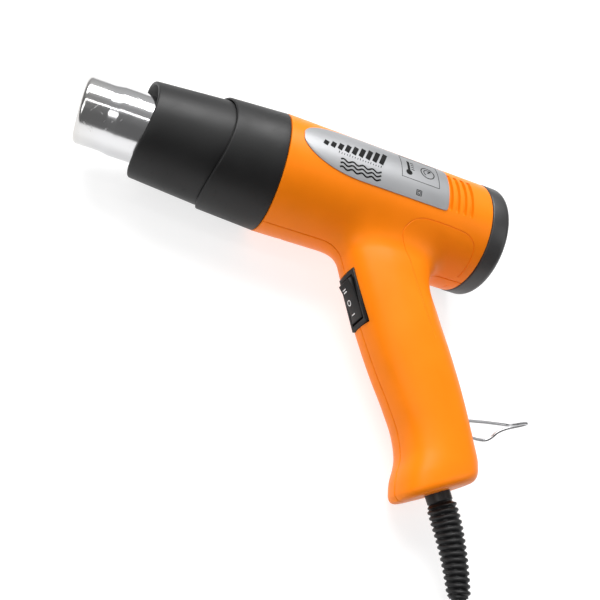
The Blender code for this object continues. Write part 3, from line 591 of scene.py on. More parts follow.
# front point, rear point and half width of each section, from inside the barrel to the end
grip = np.array([(-102.2, -5, -36, -5, 17.6), (-97.0, -22, -36.5, -20, 17.8),
                 (-91.7, -38, -37.2, -35, 18.1),
                 (-88.8, -47, -38.6, -43, 18.2), (-85.3, -58, -38.8, -50, 18.0),
                 (-78.0, -79, -34.2, -65.4, 17.8), (-68.0, -103.5, -25.6, -91.0, 17.6),
                 (-60.6, -119, -21.2, -106.5, 17.4), (-54.8, -134, -17.8, -121.5, 17.4),
                 (-53.6, -144.5, -15.8, -131.5, 17.7), (-56.4, -157, -13.8, -142.0, 18.2),
                 (-56.6, -162.4, -14.0, -147.0, 18.1), (-56.0, -170, -14.6, -154.0, 17.9)])


def between(rows, samples):
    """Smooth rows between the given ones; each row is passed through exactly."""
    gone = np.concatenate(([0], np.cumsum(np.linalg.norm(np.diff(rows[:, :4], axis=0), axis=1))))
    slope = np.gradient(rows, gone, axis=0)
    at = np.linspace(0, gone[-1], samples)
    k = np.clip(np.searchsorted(gone, at, side="right") - 1, 0, len(gone) - 2)
    size = (gone[k + 1] - gone[k])[:, None]
    t = ((at - gone[k]) / size[:, 0])[:, None]
    return ((2 * t ** 3 - 3 * t ** 2 + 1) * rows[k] + (t ** 3 - 2 * t ** 2 + t) * size * slope[k]
            + (3 * t ** 2 - 2 * t ** 3) * rows[k + 1] + (t ** 3 - t ** 2) * size * slope[k + 1])


sections = between(grip, 320)
cell = 1.0
grid_x, grid_y = np.arange(-125, 12, cell), np.arange(-185, 2, cell)
gx, gy = np.meshgrid(grid_x, grid_y, indexing="ij")
side_of = ((sections[:, 2] - sections[:, 0]) * (gy[..., None] - sections[:, 1])
           - (sections[:, 3] - sections[:, 1]) * (gx[..., None] - sections[:, 0]))
level = np.clip((side_of > 0).argmax(axis=2), 1, len(sections) - 1)
level = np.where((side_of > 0).any(axis=2), level, len(sections) - 1)
first, second = (np.take_along_axis(side_of, (level - k)[..., None], 2)[..., 0]
                 for k in (1, 0))
share = np.clip(first / (first - second + 1e-9), 0, 1)[..., None]
here = sections[level - 1] * (1 - share) + sections[level] * share
chord = here[..., 2:4] - here[..., 0:2]
half_depth = np.linalg.norm(chord, axis=2) / 2
offset = (((gx - (here[..., 0] + here[..., 2]) / 2) * chord[..., 0]
           + (gy - (here[..., 1] + here[..., 3]) / 2) * chord[..., 1]) / (2 * half_depth))
table = np.stack((offset, half_depth, here[..., 4]), axis=-1)
print("grip table:", table.shape)


# %% Blend of barrel and grip
def look_up(x, y):
    """The section's offset, half depth and half width at a place, from the table."""
    u, v = (x - grid_x[0]) / cell, (y - grid_y[0]) / cell
    i = np.clip(u.astype(int), 0, len(grid_x) - 2)
    j = np.clip(v.astype(int), 0, len(grid_y) - 2)
    s, t = np.clip(u - i, 0, 1)[:, None], np.clip(v - j, 0, 1)[:, None]
    return ((table[i, j] * (1 - s) + table[i + 1, j] * s) * (1 - t)
            + (table[i, j + 1] * (1 - s) + table[i + 1, j + 1] * s) * t).T


def joined(a, b, k):
    """The smaller of two distances, with a round fillet about as wide as k."""
    h = np.maximum(k - np.abs(a - b), 0) / k
    return np.minimum(a, b) - h * h * k / 4


def housing(p):
    """Distance in millimetres to the outside of the housing, negative inside it."""
    x, y, z = p.T
    shift, deep, wide = look_up(x, y)
    u, w, n = np.abs(shift) / deep + 1e-9, np.abs(z) / wide + 1e-9, 2.5
    size = (u ** n + w ** n) ** (1 / n)
    slope = size ** (1 - n) * np.hypot(u ** (n - 1) / deep, w ** (n - 1) / wide)
    grip_distance = (size - 1) / slope
    end = (x + 52.6) * 0.353 + (y + 165.4) * -0.936
    grip_distance = -joined(-grip_distance, -end, 5.0)
    grip_distance = np.maximum(grip_distance, y + 7.0)
    return joined(np.hypot(y, z) - barrel_r, grip_distance, 10.0)


def steepest(p, step=0.02):
    """Direction in which the distance grows."""
    return np.column_stack([(housing(p + d) - housing(p - d)) / (2 * step)
                            for d in np.eye(3) * step])


def onto_surface(p, rounds=5):
    """Moves points along the slope until they lie on the housing."""
    for _ in range(rounds):
        slope = steepest(p)
        p = p - housing(p)[:, None] * slope / np.maximum((slope ** 2).sum(1), 0.05)[:, None]
    return p


barrel_top = np.array([(-80.0, barrel_r, 0.0)])
print("top of the barrel:", round(float(housing(barrel_top)[0]), 4), "mm off")


# %% Rough solid and voxel mesh
def rough(name, points, faces):
    """A plain helper mesh in millimetres that isn't part of the tool."""
    return piece(name, points, faces, None, axes=Matrix.Identity(4), body=None)


def superoval(row, n=2.5, count=40):
    """A ring of points around one section of the grip."""
    out = []
    for i in range(count):
        c, s = math.cos(2 * math.pi * i / count), math.sin(2 * math.pi * i / count)
        u = 0.5 + 0.5 * math.copysign(abs(c) ** (2 / n), c)
        out.append((row[0] * (1 - u) + row[2] * u, row[1] * (1 - u) + row[3] * u,
                    row[4] * math.copysign(abs(s) ** (2 / n), s)))
    return out


rings = [superoval(row) for row in sections[::16]]
points = [p for ring in rings for p in ring]
faces = tube_faces(len(rings), 40)
start = len(points)
for x in (-146.0, -4.0):
    points += [(x, barrel_r * math.sin(a), barrel_r * math.cos(a))
               for a in np.radians(np.arange(0, 360, 5))]
faces += [tuple(start + i for i in face) for face in tube_faces(2, 72)]
core = rough("housing_core", points, faces)
remesh = core.modifiers.new("voxels", "REMESH")
remesh.mode = "VOXEL"
remesh.voxel_size = 1.25
settle(core)
cloud = np.empty(len(core.data.vertices) * 3)
core.data.vertices.foreach_get("co", cloud)
cloud = onto_surface(cloud.reshape(-1, 3))
core.data.vertices.foreach_set("co", cloud.ravel())
print("housing points:", len(cloud), "worst", round(float(np.abs(housing(cloud)).max()), 4), "mm")


# %% [markdown]
# ## Halves, openings and the line between them
# The two halves meet on a plane through the barrel. Each edge is pressed in a little, which
# draws the thin dark parting line. Vents, the switch window, the lead's hole, the slots of the
# wire loop, the screw wells and the fine outline of the panel behind the grip are then taken
# out with exact booleans, all disjoint cutters together in one pass.

# %% Trim into a half
def press_in(chosen, depth):
    """Moves the chosen vertices into the wall along the slope of the housing."""
    slope = steepest(np.array([v.co for v in chosen]))
    for v, direction in zip(chosen, slope):
        v.co -= Vector(direction).normalized() * depth


def trimmed_half(name, side):
    """One half of the housing: cut off at its ends and at the parting plane, and hollowed."""
    bm = bmesh.new()
    bm.from_mesh(core.data)
    for at, facing in ((front_x, 1), (rear_x, -1)):
        for inset, clear in ((0.0, True), (0.5, False)):
            bmesh.ops.bisect_plane(bm, geom=bm.verts[:] + bm.edges[:] + bm.faces[:],
                                   plane_co=(at + facing * inset, 0, 0), plane_no=(facing, 0, 0),
                                   clear_inner=clear)
        press_in([v for v in bm.verts if abs(v.co.x - at) < 0.01], 0.4)
    for inset, clear in ((0.12, True), (0.5, False)):
        bmesh.ops.bisect_plane(bm, geom=bm.verts[:] + bm.edges[:] + bm.faces[:],
                               plane_co=(0, 0, side * inset), plane_no=(0, 0, side),
                               clear_inner=clear)
    press_in([v for v in bm.verts if abs(v.co.z) < 0.13], 0.3)
    mesh = bpy.data.meshes.new(name)
    bm.to_mesh(mesh)
    bm.free()
    half = bpy.data.objects.new(name, mesh)
    scene.collection.objects.link(half)
    outer = np.array([v.co for v in mesh.vertices])
    slope = steepest(outer)
    slope /= np.linalg.norm(slope, axis=1)[:, None]
    thick = half.modifiers.new("wall", "SOLIDIFY")
    thick.thickness = wall
    thick.offset = -1.0
    settle(half)
    half.data.vertices.foreach_set("co", np.vstack((outer, outer - wall * slope)).ravel())
    return half


# %% Cutter shapes
def boxed(size, at, turn=Matrix.Identity(4)):
    """Points and faces of a box, placed by a matrix."""
    corners = [(sx * size[0] / 2 + at[0], sy * size[1] / 2 + at[1], sz * size[2] / 2 + at[2])
               for sx in (-1, 1) for sy, sz in ((-1, -1), (1, -1), (1, 1), (-1, 1))]
    return [turn @ Vector(c) for c in corners], tube_faces(2, 4)


def rodded(start, end, radius, sides=32):
    """Points and faces of a round bar between two points."""
    start_up = (0.1, 0.2, 0.97) if start[0] == end[0] else (0, 0, 1)
    return sweep([start, end], sides, lambda k, a: radius, start_up)


def vent(x, side):
    """A groove across the barrel that runs out softly at both ends."""
    points, steps = [], 28
    for k in range(steps + 1):
        a = math.radians(-20 + 46 * k / steps)
        deep = 1.6 * min(1.0, (k + 0.4) / 3, (steps - k + 0.4) / 3) ** 0.5
        for off, rise in ((-0.8, -deep), (0.8, -deep), (1.15, -0.3 * deep),
                          (1.4, 0.8), (-1.4, 0.8), (-1.15, -0.3 * deep)):
            r = barrel_r + rise
            points.append((x + off, r * math.sin(a), side * r * math.cos(a)))
    return points, tube_faces(steps + 1, 6)


def on_barrel(x, degrees, side=1, r=barrel_r):
    """A place on the barrel; degrees go up from the middle of the left or right side."""
    return (x, r * math.sin(math.radians(degrees)), side * r * math.cos(math.radians(degrees)))


def panel_line(side):
    """The fine groove around the panel behind the grip, and down the grip's side."""
    turned = [(-18.4, -82), (-18.4, -70), (-18.9, -57.8), (-20.4, -45), (-26.0, -36.6),
              (-36.0, -34.6), (-47.0, -34.2), (-55.0, -35.3), (-60.4, -39.5), (-64.0, -48),
              (-64.4, -58)]
    knots = [on_barrel(x, degrees, side) for x, degrees in turned]
    knots += [(-61.6, -36.0, side * 17.5), (-58.7, -41.4, side * 17), (-51.9, -60.0, side * 16.5),
              (-46.0, -76.0, side * 16), (-41.5, -88.0, side * 16)]
    path = onto_surface(through(knots, 1.6))
    path = path + steepest(path) * 0.12
    groove_r = 0.42
    return sweep(path, 8, lambda k, a: groove_r * min(1.0, 0.3 + (len(path) - 1 - k) / 14),
                 (0.02, 0.03, 1))


def gathered(name, shapes):
    """One helper mesh from several closed shapes."""
    points, faces = [], []
    for more, quads in shapes:
        faces += [tuple(len(points) + i for i in quad) for quad in quads]
        points += more
    return rough(name, points, faces)


def carve(thing, name, shapes):
    """Takes the shapes out of a piece with an exact boolean."""
    cutter = gathered(name, shapes)
    tool = thing.modifiers.new(name, "BOOLEAN")
    tool.operation, tool.solver, tool.object = "DIFFERENCE", "EXACT", cutter
    settle(thing)
    bpy.data.objects.remove(cutter)
    return thing


# %% Places of the openings
switch_lean = 17.6
switch_place = (Matrix.Translation((-82.9, -65.2, 0.0))
                @ Matrix.Rotation(math.radians(180.0 + switch_lean), 4, "Z"))
loop_at = Vector((-21.8, -121.6, 0.0))
screws = [(-122.0, 25.5), (-76.0, 25.5), (-121.0, -25.5), (-52.5, -57.0), (-49.5, -113.0),
          (-25.5, -142.5)]
vents_at = (-40.6, -36.0, -31.5, -27.1)
halves = {}
for word, side in (("left", 1), ("right", -1)):
    half = trimmed_half(f"housing_{word}", side)
    cuts = [vent(x, side) for x in vents_at]
    cuts.append(panel_line(side))
    cuts.append(boxed((8.0, 31.4, 16.0), (1.6, 0, 0), switch_place))
    cuts.append(rodded(handle_end - handle_down * 9, handle_end + handle_down * 9, 6.75))
    cuts.append(boxed((14.0, 10.6, 2.6), tuple(loop_at + Vector((4.5, -2.7, side * 9.0)))))
    carve(half, f"openings_{word}", cuts)
    if side < 0:
        carve(half, "wells", [rodded((x, y, -12.5), (x, y, -60.0), 3.15) for x, y in screws])
    pin_hole = rodded((*loop_at.xy, side * 8.5), (*loop_at.xy, side * 11.0), 1.0, 20)
    room_behind = boxed((40.0, 27.6, 13.2), (-4.0, 0, 0), switch_place)
    carve(half, f"inner_{word}", [room_behind, pin_hole])
    halves[side] = half
    print(word, "half:", len(half.data.polygons), "faces")


# %% Screw posts and the spigots at both ends
def add_to(thing, shapes):
    """Joins further closed shapes to a piece, without a boolean."""
    extra = gathered("extra", shapes)
    bm = bmesh.new()
    bm.from_mesh(thing.data)
    bm.from_mesh(extra.data)
    bm.to_mesh(thing.data)
    bm.free()
    bpy.data.objects.remove(extra)


def half_ring(x0, x1, outer, inner, side, steps=48):
    """Half of a plain ring, on one side of the parting plane."""
    points = []
    for k in range(steps + 1):
        a = math.radians(-89.7 + 179.4 * k / steps)
        points += [(x, r * math.sin(a), side * r * math.cos(a))
                   for x, r in ((x0, inner), (x1, inner), (x1, outer), (x0, outer))]
    return points, tube_faces(steps + 1, 4)


def post(x, y):
    """The tube around a screw, from the middle out to just under the slanting surface."""
    sides, floor_at, rows = 32, -12.6, []
    angles = [2 * math.pi * i / sides for i in range(sides)]
    for radius, reaches_out in ((3.2, False), (4.2, False), (4.2, True), (3.2, True)):
        ring = np.array([(x + radius * math.cos(a), y + radius * math.sin(a), floor_at)
                         for a in angles])
        if reaches_out:
            for _ in range(12):
                ring[:, 2] -= 0.9 * np.clip(-1.2 - housing(ring), -3, 3)
                ring[:, 2] = np.minimum(ring[:, 2], -12.7)
        rows.append(ring)
    return [tuple(p) for ring in rows for p in ring], tube_faces(4, sides, loop_back=True)


for side, half in halves.items():
    rings = [(-150.6, front_x + 1.6, 29.6, 27.2), (front_x + 0.1, front_x + 1.6, 31.6, 29.4),
             (rear_x - 1.6, -8.0, 30.0, 27.8), (rear_x - 1.6, rear_x - 0.1, 31.6, 29.8)]
    extras = [half_ring(*ring, side) for ring in rings]
    if side < 0:
        extras += [post(x, y) for x, y in screws]
    add_to(half, extras)
print("spigots and posts added")


# %% Shading that follows the formula
def lay_down(half, finish_with):
    """Places a half on the bench, with normals from the formula where it shows its outside."""
    mesh = half.data
    count = len(mesh.vertices)
    spots = np.empty(count * 3)
    mesh.vertices.foreach_get("co", spots)
    spots = spots.reshape(-1, 3)
    slope = steepest(spots)
    slope /= np.linalg.norm(slope, axis=1)[:, None]
    outside = np.abs(housing(spots)) < 0.03
    mesh.shade_smooth()
    mesh.set_sharp_from_angle(angle=math.radians(32))
    corner = np.empty(len(mesh.loops), dtype=np.int64)
    mesh.loops.foreach_get("vertex_index", corner)
    flat = np.empty(len(mesh.polygons) * 3)
    mesh.polygons.foreach_get("normal", flat)
    sizes = np.empty(len(mesh.polygons), dtype=np.int64)
    mesh.polygons.foreach_get("loop_total", sizes)
    flat = np.repeat(flat.reshape(-1, 3), sizes, axis=0)
    fits = outside[corner] & ((slope[corner] * flat).sum(1) > 0.93)
    laid = np.array(Matrix.Rotation(lean, 3, "X"))
    wanted = np.where(fits[:, None], slope[corner] @ laid.T, 0.0)
    mesh.transform(tool_axes)
    mesh.normals_split_custom_set(wanted.tolist())
    mesh.materials.clear()
    mesh.materials.append(finish_with)
    for polygon in mesh.polygons:
        polygon.material_index = 0
    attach(half, "tool")
    print(half.name, "corners shaded from the formula:", int(fits.sum()), "of", len(fits))


orange = finish("orange_plastic", (0.95, 0.225, 0.003), (1.0, 0.40, 0.06), (0.32, 0.44),
                grain=1300.0, depth=0.000008, wear=0.3, scuffs=0.22, tone=0.04, specular=0.15)
for side, half in halves.items():
    lay_down(half, orange)
    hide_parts("body_left_shell" if side > 0 else "body_right_shell")
bpy.data.objects.remove(core)

# %% [markdown]
# ## Nozzle and heat guards
# The hot end is a bright plated tube that steps down at its mouth and rolls inwards at the lip.
# Two black guards stand around it; their rims and their seam wave, forwards at the top and
# bottom and back at the sides. All of them are turned shapes, so a profile is drawn once and
# spun; the wave is added to the place along the axis while it spins.

# %% Turning helper
def lathe(name, profile, finish_with, sides=144, sharp=32.0):
    """A closed profile of (along, radius) or (along, radius, wave) turned about the barrel axis."""
    points = []
    for along, radius, *rest in profile:
        wave = rest[0] if rest else 0.0
        for i in range(sides):
            a = 2 * math.pi * i / sides
            points.append((along + wave * math.cos(2 * a), radius * math.sin(a),
                           radius * math.cos(a)))
    faces = tube_faces(len(profile), sides, loop_back=True)
    return piece(name, points, faces, finish_with, sharp=sharp)


def bend(centre, radius, start, end, steps=8):
    """Points on an arc in the profile, angles in degrees."""
    return [(centre[0] + radius * math.cos(math.radians(start + (end - start) * i / steps)),
             centre[1] + radius * math.sin(math.radians(start + (end - start) * i / steps)))
            for i in range(steps + 1)]


# %% Nozzle tube
chrome, tree, shader = new_material("chrome_plating")
skin = use(tree, "moulded grain", Scale=500.0, Cloud_Scale=30.0)
marks = use(tree, "fine scuffs", Scale=90.0, Stretch=9.0, Amount=0.5)["Mask"]
spot = put(tree, "TexCoord").outputs["Object"]
place = put(tree, "SeparateXYZ", {0: spot}).outputs["X"]
heat = put(tree, "MapRange", {"Value": place, "From Min": -0.2393, "From Max": -0.205})
wander = put(tree, "Math", {0: skin["Tone"], 1: 0.35, 2: heat.outputs[0]}, operation="MULTIPLY_ADD")
# a little yellowed by heat at the mouth, clean further back
tempered = ramp(tree, wander.outputs[0], [(0.12, (0.55, 0.53, 0.51)), (0.30, (0.66, 0.655, 0.65)),
                                          (0.6, (0.70, 0.70, 0.71))])
tree.links.new(tempered, shader.inputs["Base Color"])
shine = put(tree, "MapRange", {"Value": skin["Tone"], "From Min": 0.3, "From Max": 0.7,
                               "To Min": 0.10, "To Max": 0.19}).outputs[0]
roughen(tree, shader, marks, 0.3, shine)
emboss(tree, shader, skin["Tone"], 0.0003, 0.25)
shader.inputs["Metallic"].default_value = 1.0

tip_x, lip = -239.3, 2.6
tube = bend((tip_x + lip, 17.5 - lip), lip, 180, 90, 10)
tube += [(-226.2, 17.5), (-225.7, 17.52), (-225.2, 17.6), (-221.2, 18.3), (-220.7, 18.38),
         (-220.2, 18.4)]
tube += bend((-153.4, 19.8), 1.4, 270, 360, 5)[1:] + [(-152.0, 28.0), (-151.0, 28.0)]
tube += [(-151.0, 17.6), (-220.4, 17.6), (-226.0, 16.7), (tip_x + lip, 16.7)]
tube += bend((tip_x + lip, 17.5 - lip), lip - 0.8, 90, 170, 6)[1:]
nozzle = lathe("nozzle", tube, chrome, sharp=50)
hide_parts("nozzle_tube")

# %% Guards
guard_black = finish("guard_plastic", (0.0065, 0.0065, 0.0068), (0.08, 0.08, 0.08),
                     (0.42, 0.55), grain=1100.0, depth=0.00002, wear=0.3, scuffs=0.25,
                     tone=0.18, specular=0.35)
rim_wave, seam_wave = 2.25, 3.3
front = [(x, r, rim_wave) for x, r in ((-207.0, 23.7), (-207.5, 24.1), (-207.55, 24.6),
                                       (-207.4, 25.2), (-207.0, 25.55), (-206.4, 25.7))]
front += [(-206.4 + 36.0 * k / 8, 25.7 + 3.3 * k / 8, rim_wave + (seam_wave - rim_wave) * k / 8)
          for k in range(1, 8)]
front += [(-170.2, 29.0, seam_wave), (-167.7, 28.8, seam_wave), (-158.5, 28.8), (-158.5, 26.9),
          (-169.0, 26.9, seam_wave)]
guard_front = lathe("guard_front", front, guard_black, sharp=50)
rear = [(x, r, seam_wave) for x, r in ((-168.7, 29.3), (-169.1, 29.5), (-169.25, 29.9),
                                       (-169.1, 30.4), (-168.6, 30.7))]
rear += [(-168.0 + 30.0 * k / 8, 30.78 + 2.2 * k / 8, 3.2 * (1 - k / 8)) for k in range(8)]
rear += [(-138.0, 33.0), (-137.6, 32.9), (-137.4, 32.6), (-137.4, 31.1), (-151.0, 30.4),
         (-157.0, 29.3)]
guard_rear = lathe("guard_rear", rear, guard_black, sharp=50)
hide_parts("heat_guard_front")
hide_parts("heat_guard_rear")
print("hot end:", sum(len(o.data.polygons) for o in (nozzle, guard_front, guard_rear)), "faces")

# %% [markdown]
# ## Rear cap and air inlet
# The fan draws its air through the back. A dark grey ring closes the barrel and holds a black
# disc with long rounded slots. An image with holes in it would look flat from the side, so the
# slots are cut with one exact boolean, which keeps their walls straight.

# %% Cap ring
cap_grey = finish("cap_plastic", (0.035, 0.035, 0.036), (0.16, 0.16, 0.16), (0.36, 0.5),
                  grain=1100.0, wear=0.35, scuffs=0.25)
ring = [(-12.7, 30.4), (-12.7, 32.4)] + bend((-11.7, 32.5), 1.0, 180, 90, 4)[1:]
ring += bend((-4.5, 29.0), 4.5, 90, 8, 12) + bend((-0.5, 28.1), 0.5, 360, 270, 4)
ring += [(-3.2, 27.6), (-3.2, 30.4)]
cap = lathe("rear_cap", ring, cap_grey)
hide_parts("rear_cap_ring")

# %% Grille disc
disc = [(-6.6, 29.9), (-3.6, 29.9), (-3.6, 27.3), (-0.6, 27.3), (-0.15, 27.1), (0.0, 26.7),
        (0.0, 26.0), (-0.5, 25.4), (-0.5, 10.2), (-0.1, 9.6), (0.0, 9.0), (0.0, 0.4),
        (-2.4, 0.4), (-2.4, 27.0), (-6.6, 27.0)]
grille = lathe("air_inlet", disc, guard_black)
slots, slot_count = [], 20
half_turn = np.linspace(0, math.pi, 9)
outline = [(1.2 * math.cos(a), 12.0 + 1.2 * math.sin(a)) for a in half_turn + math.pi]
outline += [(1.3 * math.cos(a), 23.2 + 1.3 * math.sin(a)) for a in half_turn]
for k in range(slot_count):
    turn = Matrix.Rotation(2 * math.pi * k / slot_count, 4, "X")
    slots.append(([turn @ Vector((x, y, z)) for x in (-5.0, 3.0) for z, y in outline],
                  tube_faces(2, len(outline))))
grille.data.transform(tool_axes.inverted())
carve(grille, "slots", slots)
grille.data.transform(tool_axes)
grille.data.set_sharp_from_angle(angle=math.radians(32))
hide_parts("rear_grille")
print("inlet faces:", len(grille.data.polygons))

# %% [markdown]
# ## Name plate
# A silver plate is wrapped on the barrel: pointed round at the front, square at the rear. It
# carries invented signs only: rising bars for more heat, waves of hot air, a gauge and the
# double square for a doubly insulated tool. Each sign is a stroke, a narrow ribbon bent on the
# same curve as the plate, because a flat shape would dip into it.

# %% Plate
foil, tree, shader = new_material("brushed_foil")
skin = use(tree, "moulded grain", Scale=800.0, Cloud_Scale=25.0)
brushed = use(tree, "fine scuffs", Scale=160.0, Stretch=16.0, Amount=0.4)["Mask"]
tree.links.new(ramp(tree, skin["Tone"], [(0.3, (0.30, 0.305, 0.315)), (0.7, (0.345, 0.35, 0.36))]),
               shader.inputs["Base Color"])
sheen = put(tree, "MapRange", {"Value": skin["Tone"], "From Min": 0.3, "From Max": 0.7,
                               "To Min": 0.34, "To Max": 0.44}).outputs[0]
roughen(tree, shader, brushed, 0.25, sheen)
emboss(tree, shader, skin["Height"], 0.00001, 0.5)
shader.inputs["Metallic"].default_value = 0.35

plate_r, tilt_up, plate_reach = 33.32, 6.0, 27.5
# (place along the barrel, degrees that the plate reaches to each side of its middle)
columns = [(-95.0 - 35.6 * math.cos(t), plate_reach * math.sin(t))
           for t in np.radians(np.linspace(9, 90, 30))]
columns += [(x, plate_reach) for x in np.linspace(-92, -45, 16)]
columns += [(-42.5 - 2.0 * (1 - math.sin(t)), plate_reach - 3.4 * (1 - math.cos(t)))
            for t in np.radians((20, 40, 60, 80, 90))]
rows, points = 36, []
top = [0.35, 0.45] + [0.5] * (rows - 3) + [0.45, 0.35]         # the plate's edges are rolled down
for x, reach in columns:
    spread = [tilt_up - reach + 2 * reach * k / rows for k in range(rows + 1)]
    points += [on_barrel(x, d, 1, plate_r + rise) for d, rise in zip(spread, top)]
    points += [on_barrel(x, d, 1, plate_r - 0.15) for d in reversed(spread)]
plate = piece("name_plate", points, tube_faces(len(columns), 2 * (rows + 1)), foil, sharp=40)
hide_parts("name_label")

# %% Signs on the plate
ink, tree, shader = new_material("printing_ink")
skin = use(tree, "moulded grain", Scale=1500.0, Cloud_Scale=200.0)
tree.links.new(ramp(tree, skin["Tone"], [(0.3, 0.004), (0.7, 0.010)]), shader.inputs["Base Color"])
dull = put(tree, "MapRange", {"Value": skin["Tone"], "To Min": 0.55, "To Max": 0.7})
tree.links.new(dull.outputs[0], shader.inputs["Roughness"])
shader.inputs["Specular IOR Level"].default_value = 0.12
arc_mm = math.degrees(1 / 33.8)      # degrees on the barrel for one millimetre of arc


def stroke(places, width, points, faces, top=plate_r + 0.56, thick=0.1):
    """A ribbon along places given as (x, millimetres of arc up from the side's middle)."""
    fine = np.array(places, float)
    gone = np.concatenate(([0], np.cumsum(np.linalg.norm(np.diff(fine, axis=0), axis=1))))
    steps = np.linspace(0, gone[-1], max(2, int(gone[-1] / 0.5) + 1))
    fine = np.column_stack([np.interp(steps, gone, fine[:, k]) for k in range(2)])
    heading = np.gradient(fine, axis=0)
    heading /= np.linalg.norm(heading, axis=1)[:, None] + 1e-9
    side = np.column_stack((-heading[:, 1], heading[:, 0])) * width / 2
    start = len(points)
    for p, s in zip(fine, side):
        for place, r in ((p - s, top - thick), (p + s, top - thick), (p + s, top), (p - s, top)):
            points.append(on_barrel(place[0], place[1] * arc_mm, 1, r))
    faces += [tuple(start + i for i in quad) for quad in tube_faces(len(fine), 4)]


def ring_of(x, y, radius, start=0, end=360):
    """Places on a circle or a part of one, 15 degrees apart."""
    return [(x + radius * math.cos(math.radians(a)), y + radius * math.sin(math.radians(a)))
            for a in np.arange(start, end + 1, 15)]


points, faces = [], []
for k in range(9):                                        # rising bars: more heat
    x, tall = -118.5 + 4.1 * k, 3.2 + 0.75 * k
    stroke([(x, 1.2), (x + 0.35 * tall, 1.2 + tall)], 2.7, points, faces)
for k in range(17):                                       # a fine scale below them
    x, tall = -110.5 + 1.55 * k, -0.3 + 0.5 * (k % 4 == 0)
    stroke([(x, -1.3), (x + 0.3, tall)], 0.4, points, faces)
for row in range(3):                                      # waves of hot air
    line = [(-109.0 + 0.5 * k, -4.6 - 2.3 * row + 0.65 * math.sin(0.55 * k)) for k in range(49)]
    stroke(line, 0.95, points, faces)
window = [(-72.5, -1.2), (-49.0, -1.2), (-49.0, 17.0), (-72.5, 17.0), (-72.5, -1.5)]
stroke(window, 0.3, points, faces)
stroke([(-68.0, 2.4), (-68.0, 12.6)], 1.5, points, faces)           # thermometer
stroke(ring_of(-68.0, 3.2, 1.3), 1.3, points, faces)
for k in range(4):
    stroke([(-66.4, 6.0 + 1.9 * k), (-64.6, 6.0 + 1.9 * k)], 0.55, points, faces)
gauge = (-56.0, 7.6)                                                # gauge
stroke(ring_of(*gauge, 4.2), 0.55, points, faces)
stroke(ring_of(*gauge, 2.4, 30, 240), 0.5, points, faces)
stroke([gauge, (-53.9, 9.9)], 0.8, points, faces)
for h, width in ((1.5, 0.42), (0.75, 0.36)):                        # double square
    corners = [(-61.5 + sx * h, -8.2 + sy * h)
               for sx, sy in ((-1, -1), (1, -1), (1, 1), (-1, 1), (-1, -1))]
    stroke(corners, width, points, faces)
piece("plate_signs", points, faces, ink, sharp=20)
print("plate columns:", len(columns), "sign faces:", len(faces))

# %% [markdown]
# ## Rocker switch
# A three-step rocker sits in the front of the grip: two heat levels with off between them. The
# frame is a thin flange with a well inside, and the rocker turns on a pin below its face. The
# marks are raised strokes: two bars, a ring and one bar.

# %% Switch frame
switch_black = finish("switch_plastic", (0.004, 0.004, 0.0043), (0.05, 0.05, 0.05), (0.34, 0.44),
                      grain=1600.0, depth=0.000008, wear=0.4, scuffs=0.25, specular=0.22)
switch_frame = rough("switch_frame", *boxed((2.1, 31.0, 15.6), (-1.05, 0, 0)))
block = rough("switch_block", *boxed((16.0, 27.0, 12.6), (-9.6, 0, 0)))
union = switch_frame.modifiers.new("block", "BOOLEAN")
union.operation, union.solver, union.object = "UNION", "EXACT", block
settle(switch_frame)
bpy.data.objects.remove(block)
carve(switch_frame, "well", [boxed((20.0, 25.6, 11.4), (0.4, 0, 0))])
switch_frame.data.transform(tool_axes @ switch_place)
soften(switch_frame, 0.45, 3)
switch_frame.data.materials.append(switch_black)
switch_frame.data.set_sharp_from_angle(angle=math.radians(40))
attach(switch_frame, "tool")
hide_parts("switch_housing")

# %% Rocker and its marks
face_half, rocker_half_width = 10.95, 5.4
rocker_place = (switch_place @ Matrix.Translation((-4.2, 0, 0))
                @ Matrix.Rotation(math.radians(6.5), 4, "Z"))


def face_height(y):
    """How far the dished face stands out from the pin, at a place along the rocker."""
    share = abs(y) / face_half
    return 4.9 + 0.9 * share ** 1.3 - 0.35 * math.sin(math.pi * share)


half_outline = [(face_height(y), y) for y in np.linspace(0, face_half, 11)]
half_outline += bend((0.0, 0.0), 12.4, 65, 98, 11) + [(-4.2, 4.0)]      # round end, then the foot
outline = half_outline + [(x, -y) for x, y in reversed(half_outline[1:])]
points = [(x, y, z) for z in (-rocker_half_width, rocker_half_width) for x, y in outline]
rocker = piece("rocker", points, tube_faces(2, len(outline)), switch_black,
               tool_axes @ rocker_place, body=None)
soften(rocker, 0.35, 3, 50)
rocker.data.set_sharp_from_angle(angle=math.radians(40))
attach(rocker, "rocker")
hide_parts("switch_rocker")
white, tree, shader = new_material("mark_white")
skin = use(tree, "moulded grain", Scale=2000.0, Cloud_Scale=300.0)
tree.links.new(ramp(tree, skin["Tone"], [(0.3, 0.72), (0.7, 0.86)]), shader.inputs["Base Color"])
dull = put(tree, "MapRange", {"Value": skin["Tone"], "To Min": 0.4, "To Max": 0.55})
tree.links.new(dull.outputs[0], shader.inputs["Roughness"])


def mark(places, width, points, faces):
    """A raised stroke on the rocker through (down, across) places."""
    start = len(points)
    for k, (y, z) in enumerate(places):
        ahead, behind = places[min(k + 1, len(places) - 1)], places[max(k - 1, 0)]
        heading = Vector((ahead[0] - behind[0], ahead[1] - behind[1])).normalized() * width / 2
        for sy, sz, lift in ((heading.y, -heading.x, -0.05), (-heading.y, heading.x, -0.05),
                             (-heading.y, heading.x, 0.07), (heading.y, -heading.x, 0.07)):
            points.append((face_height(y + sy) + lift, y + sy, z + sz))
    faces += [tuple(start + i for i in quad) for quad in tube_faces(len(places), 4)]


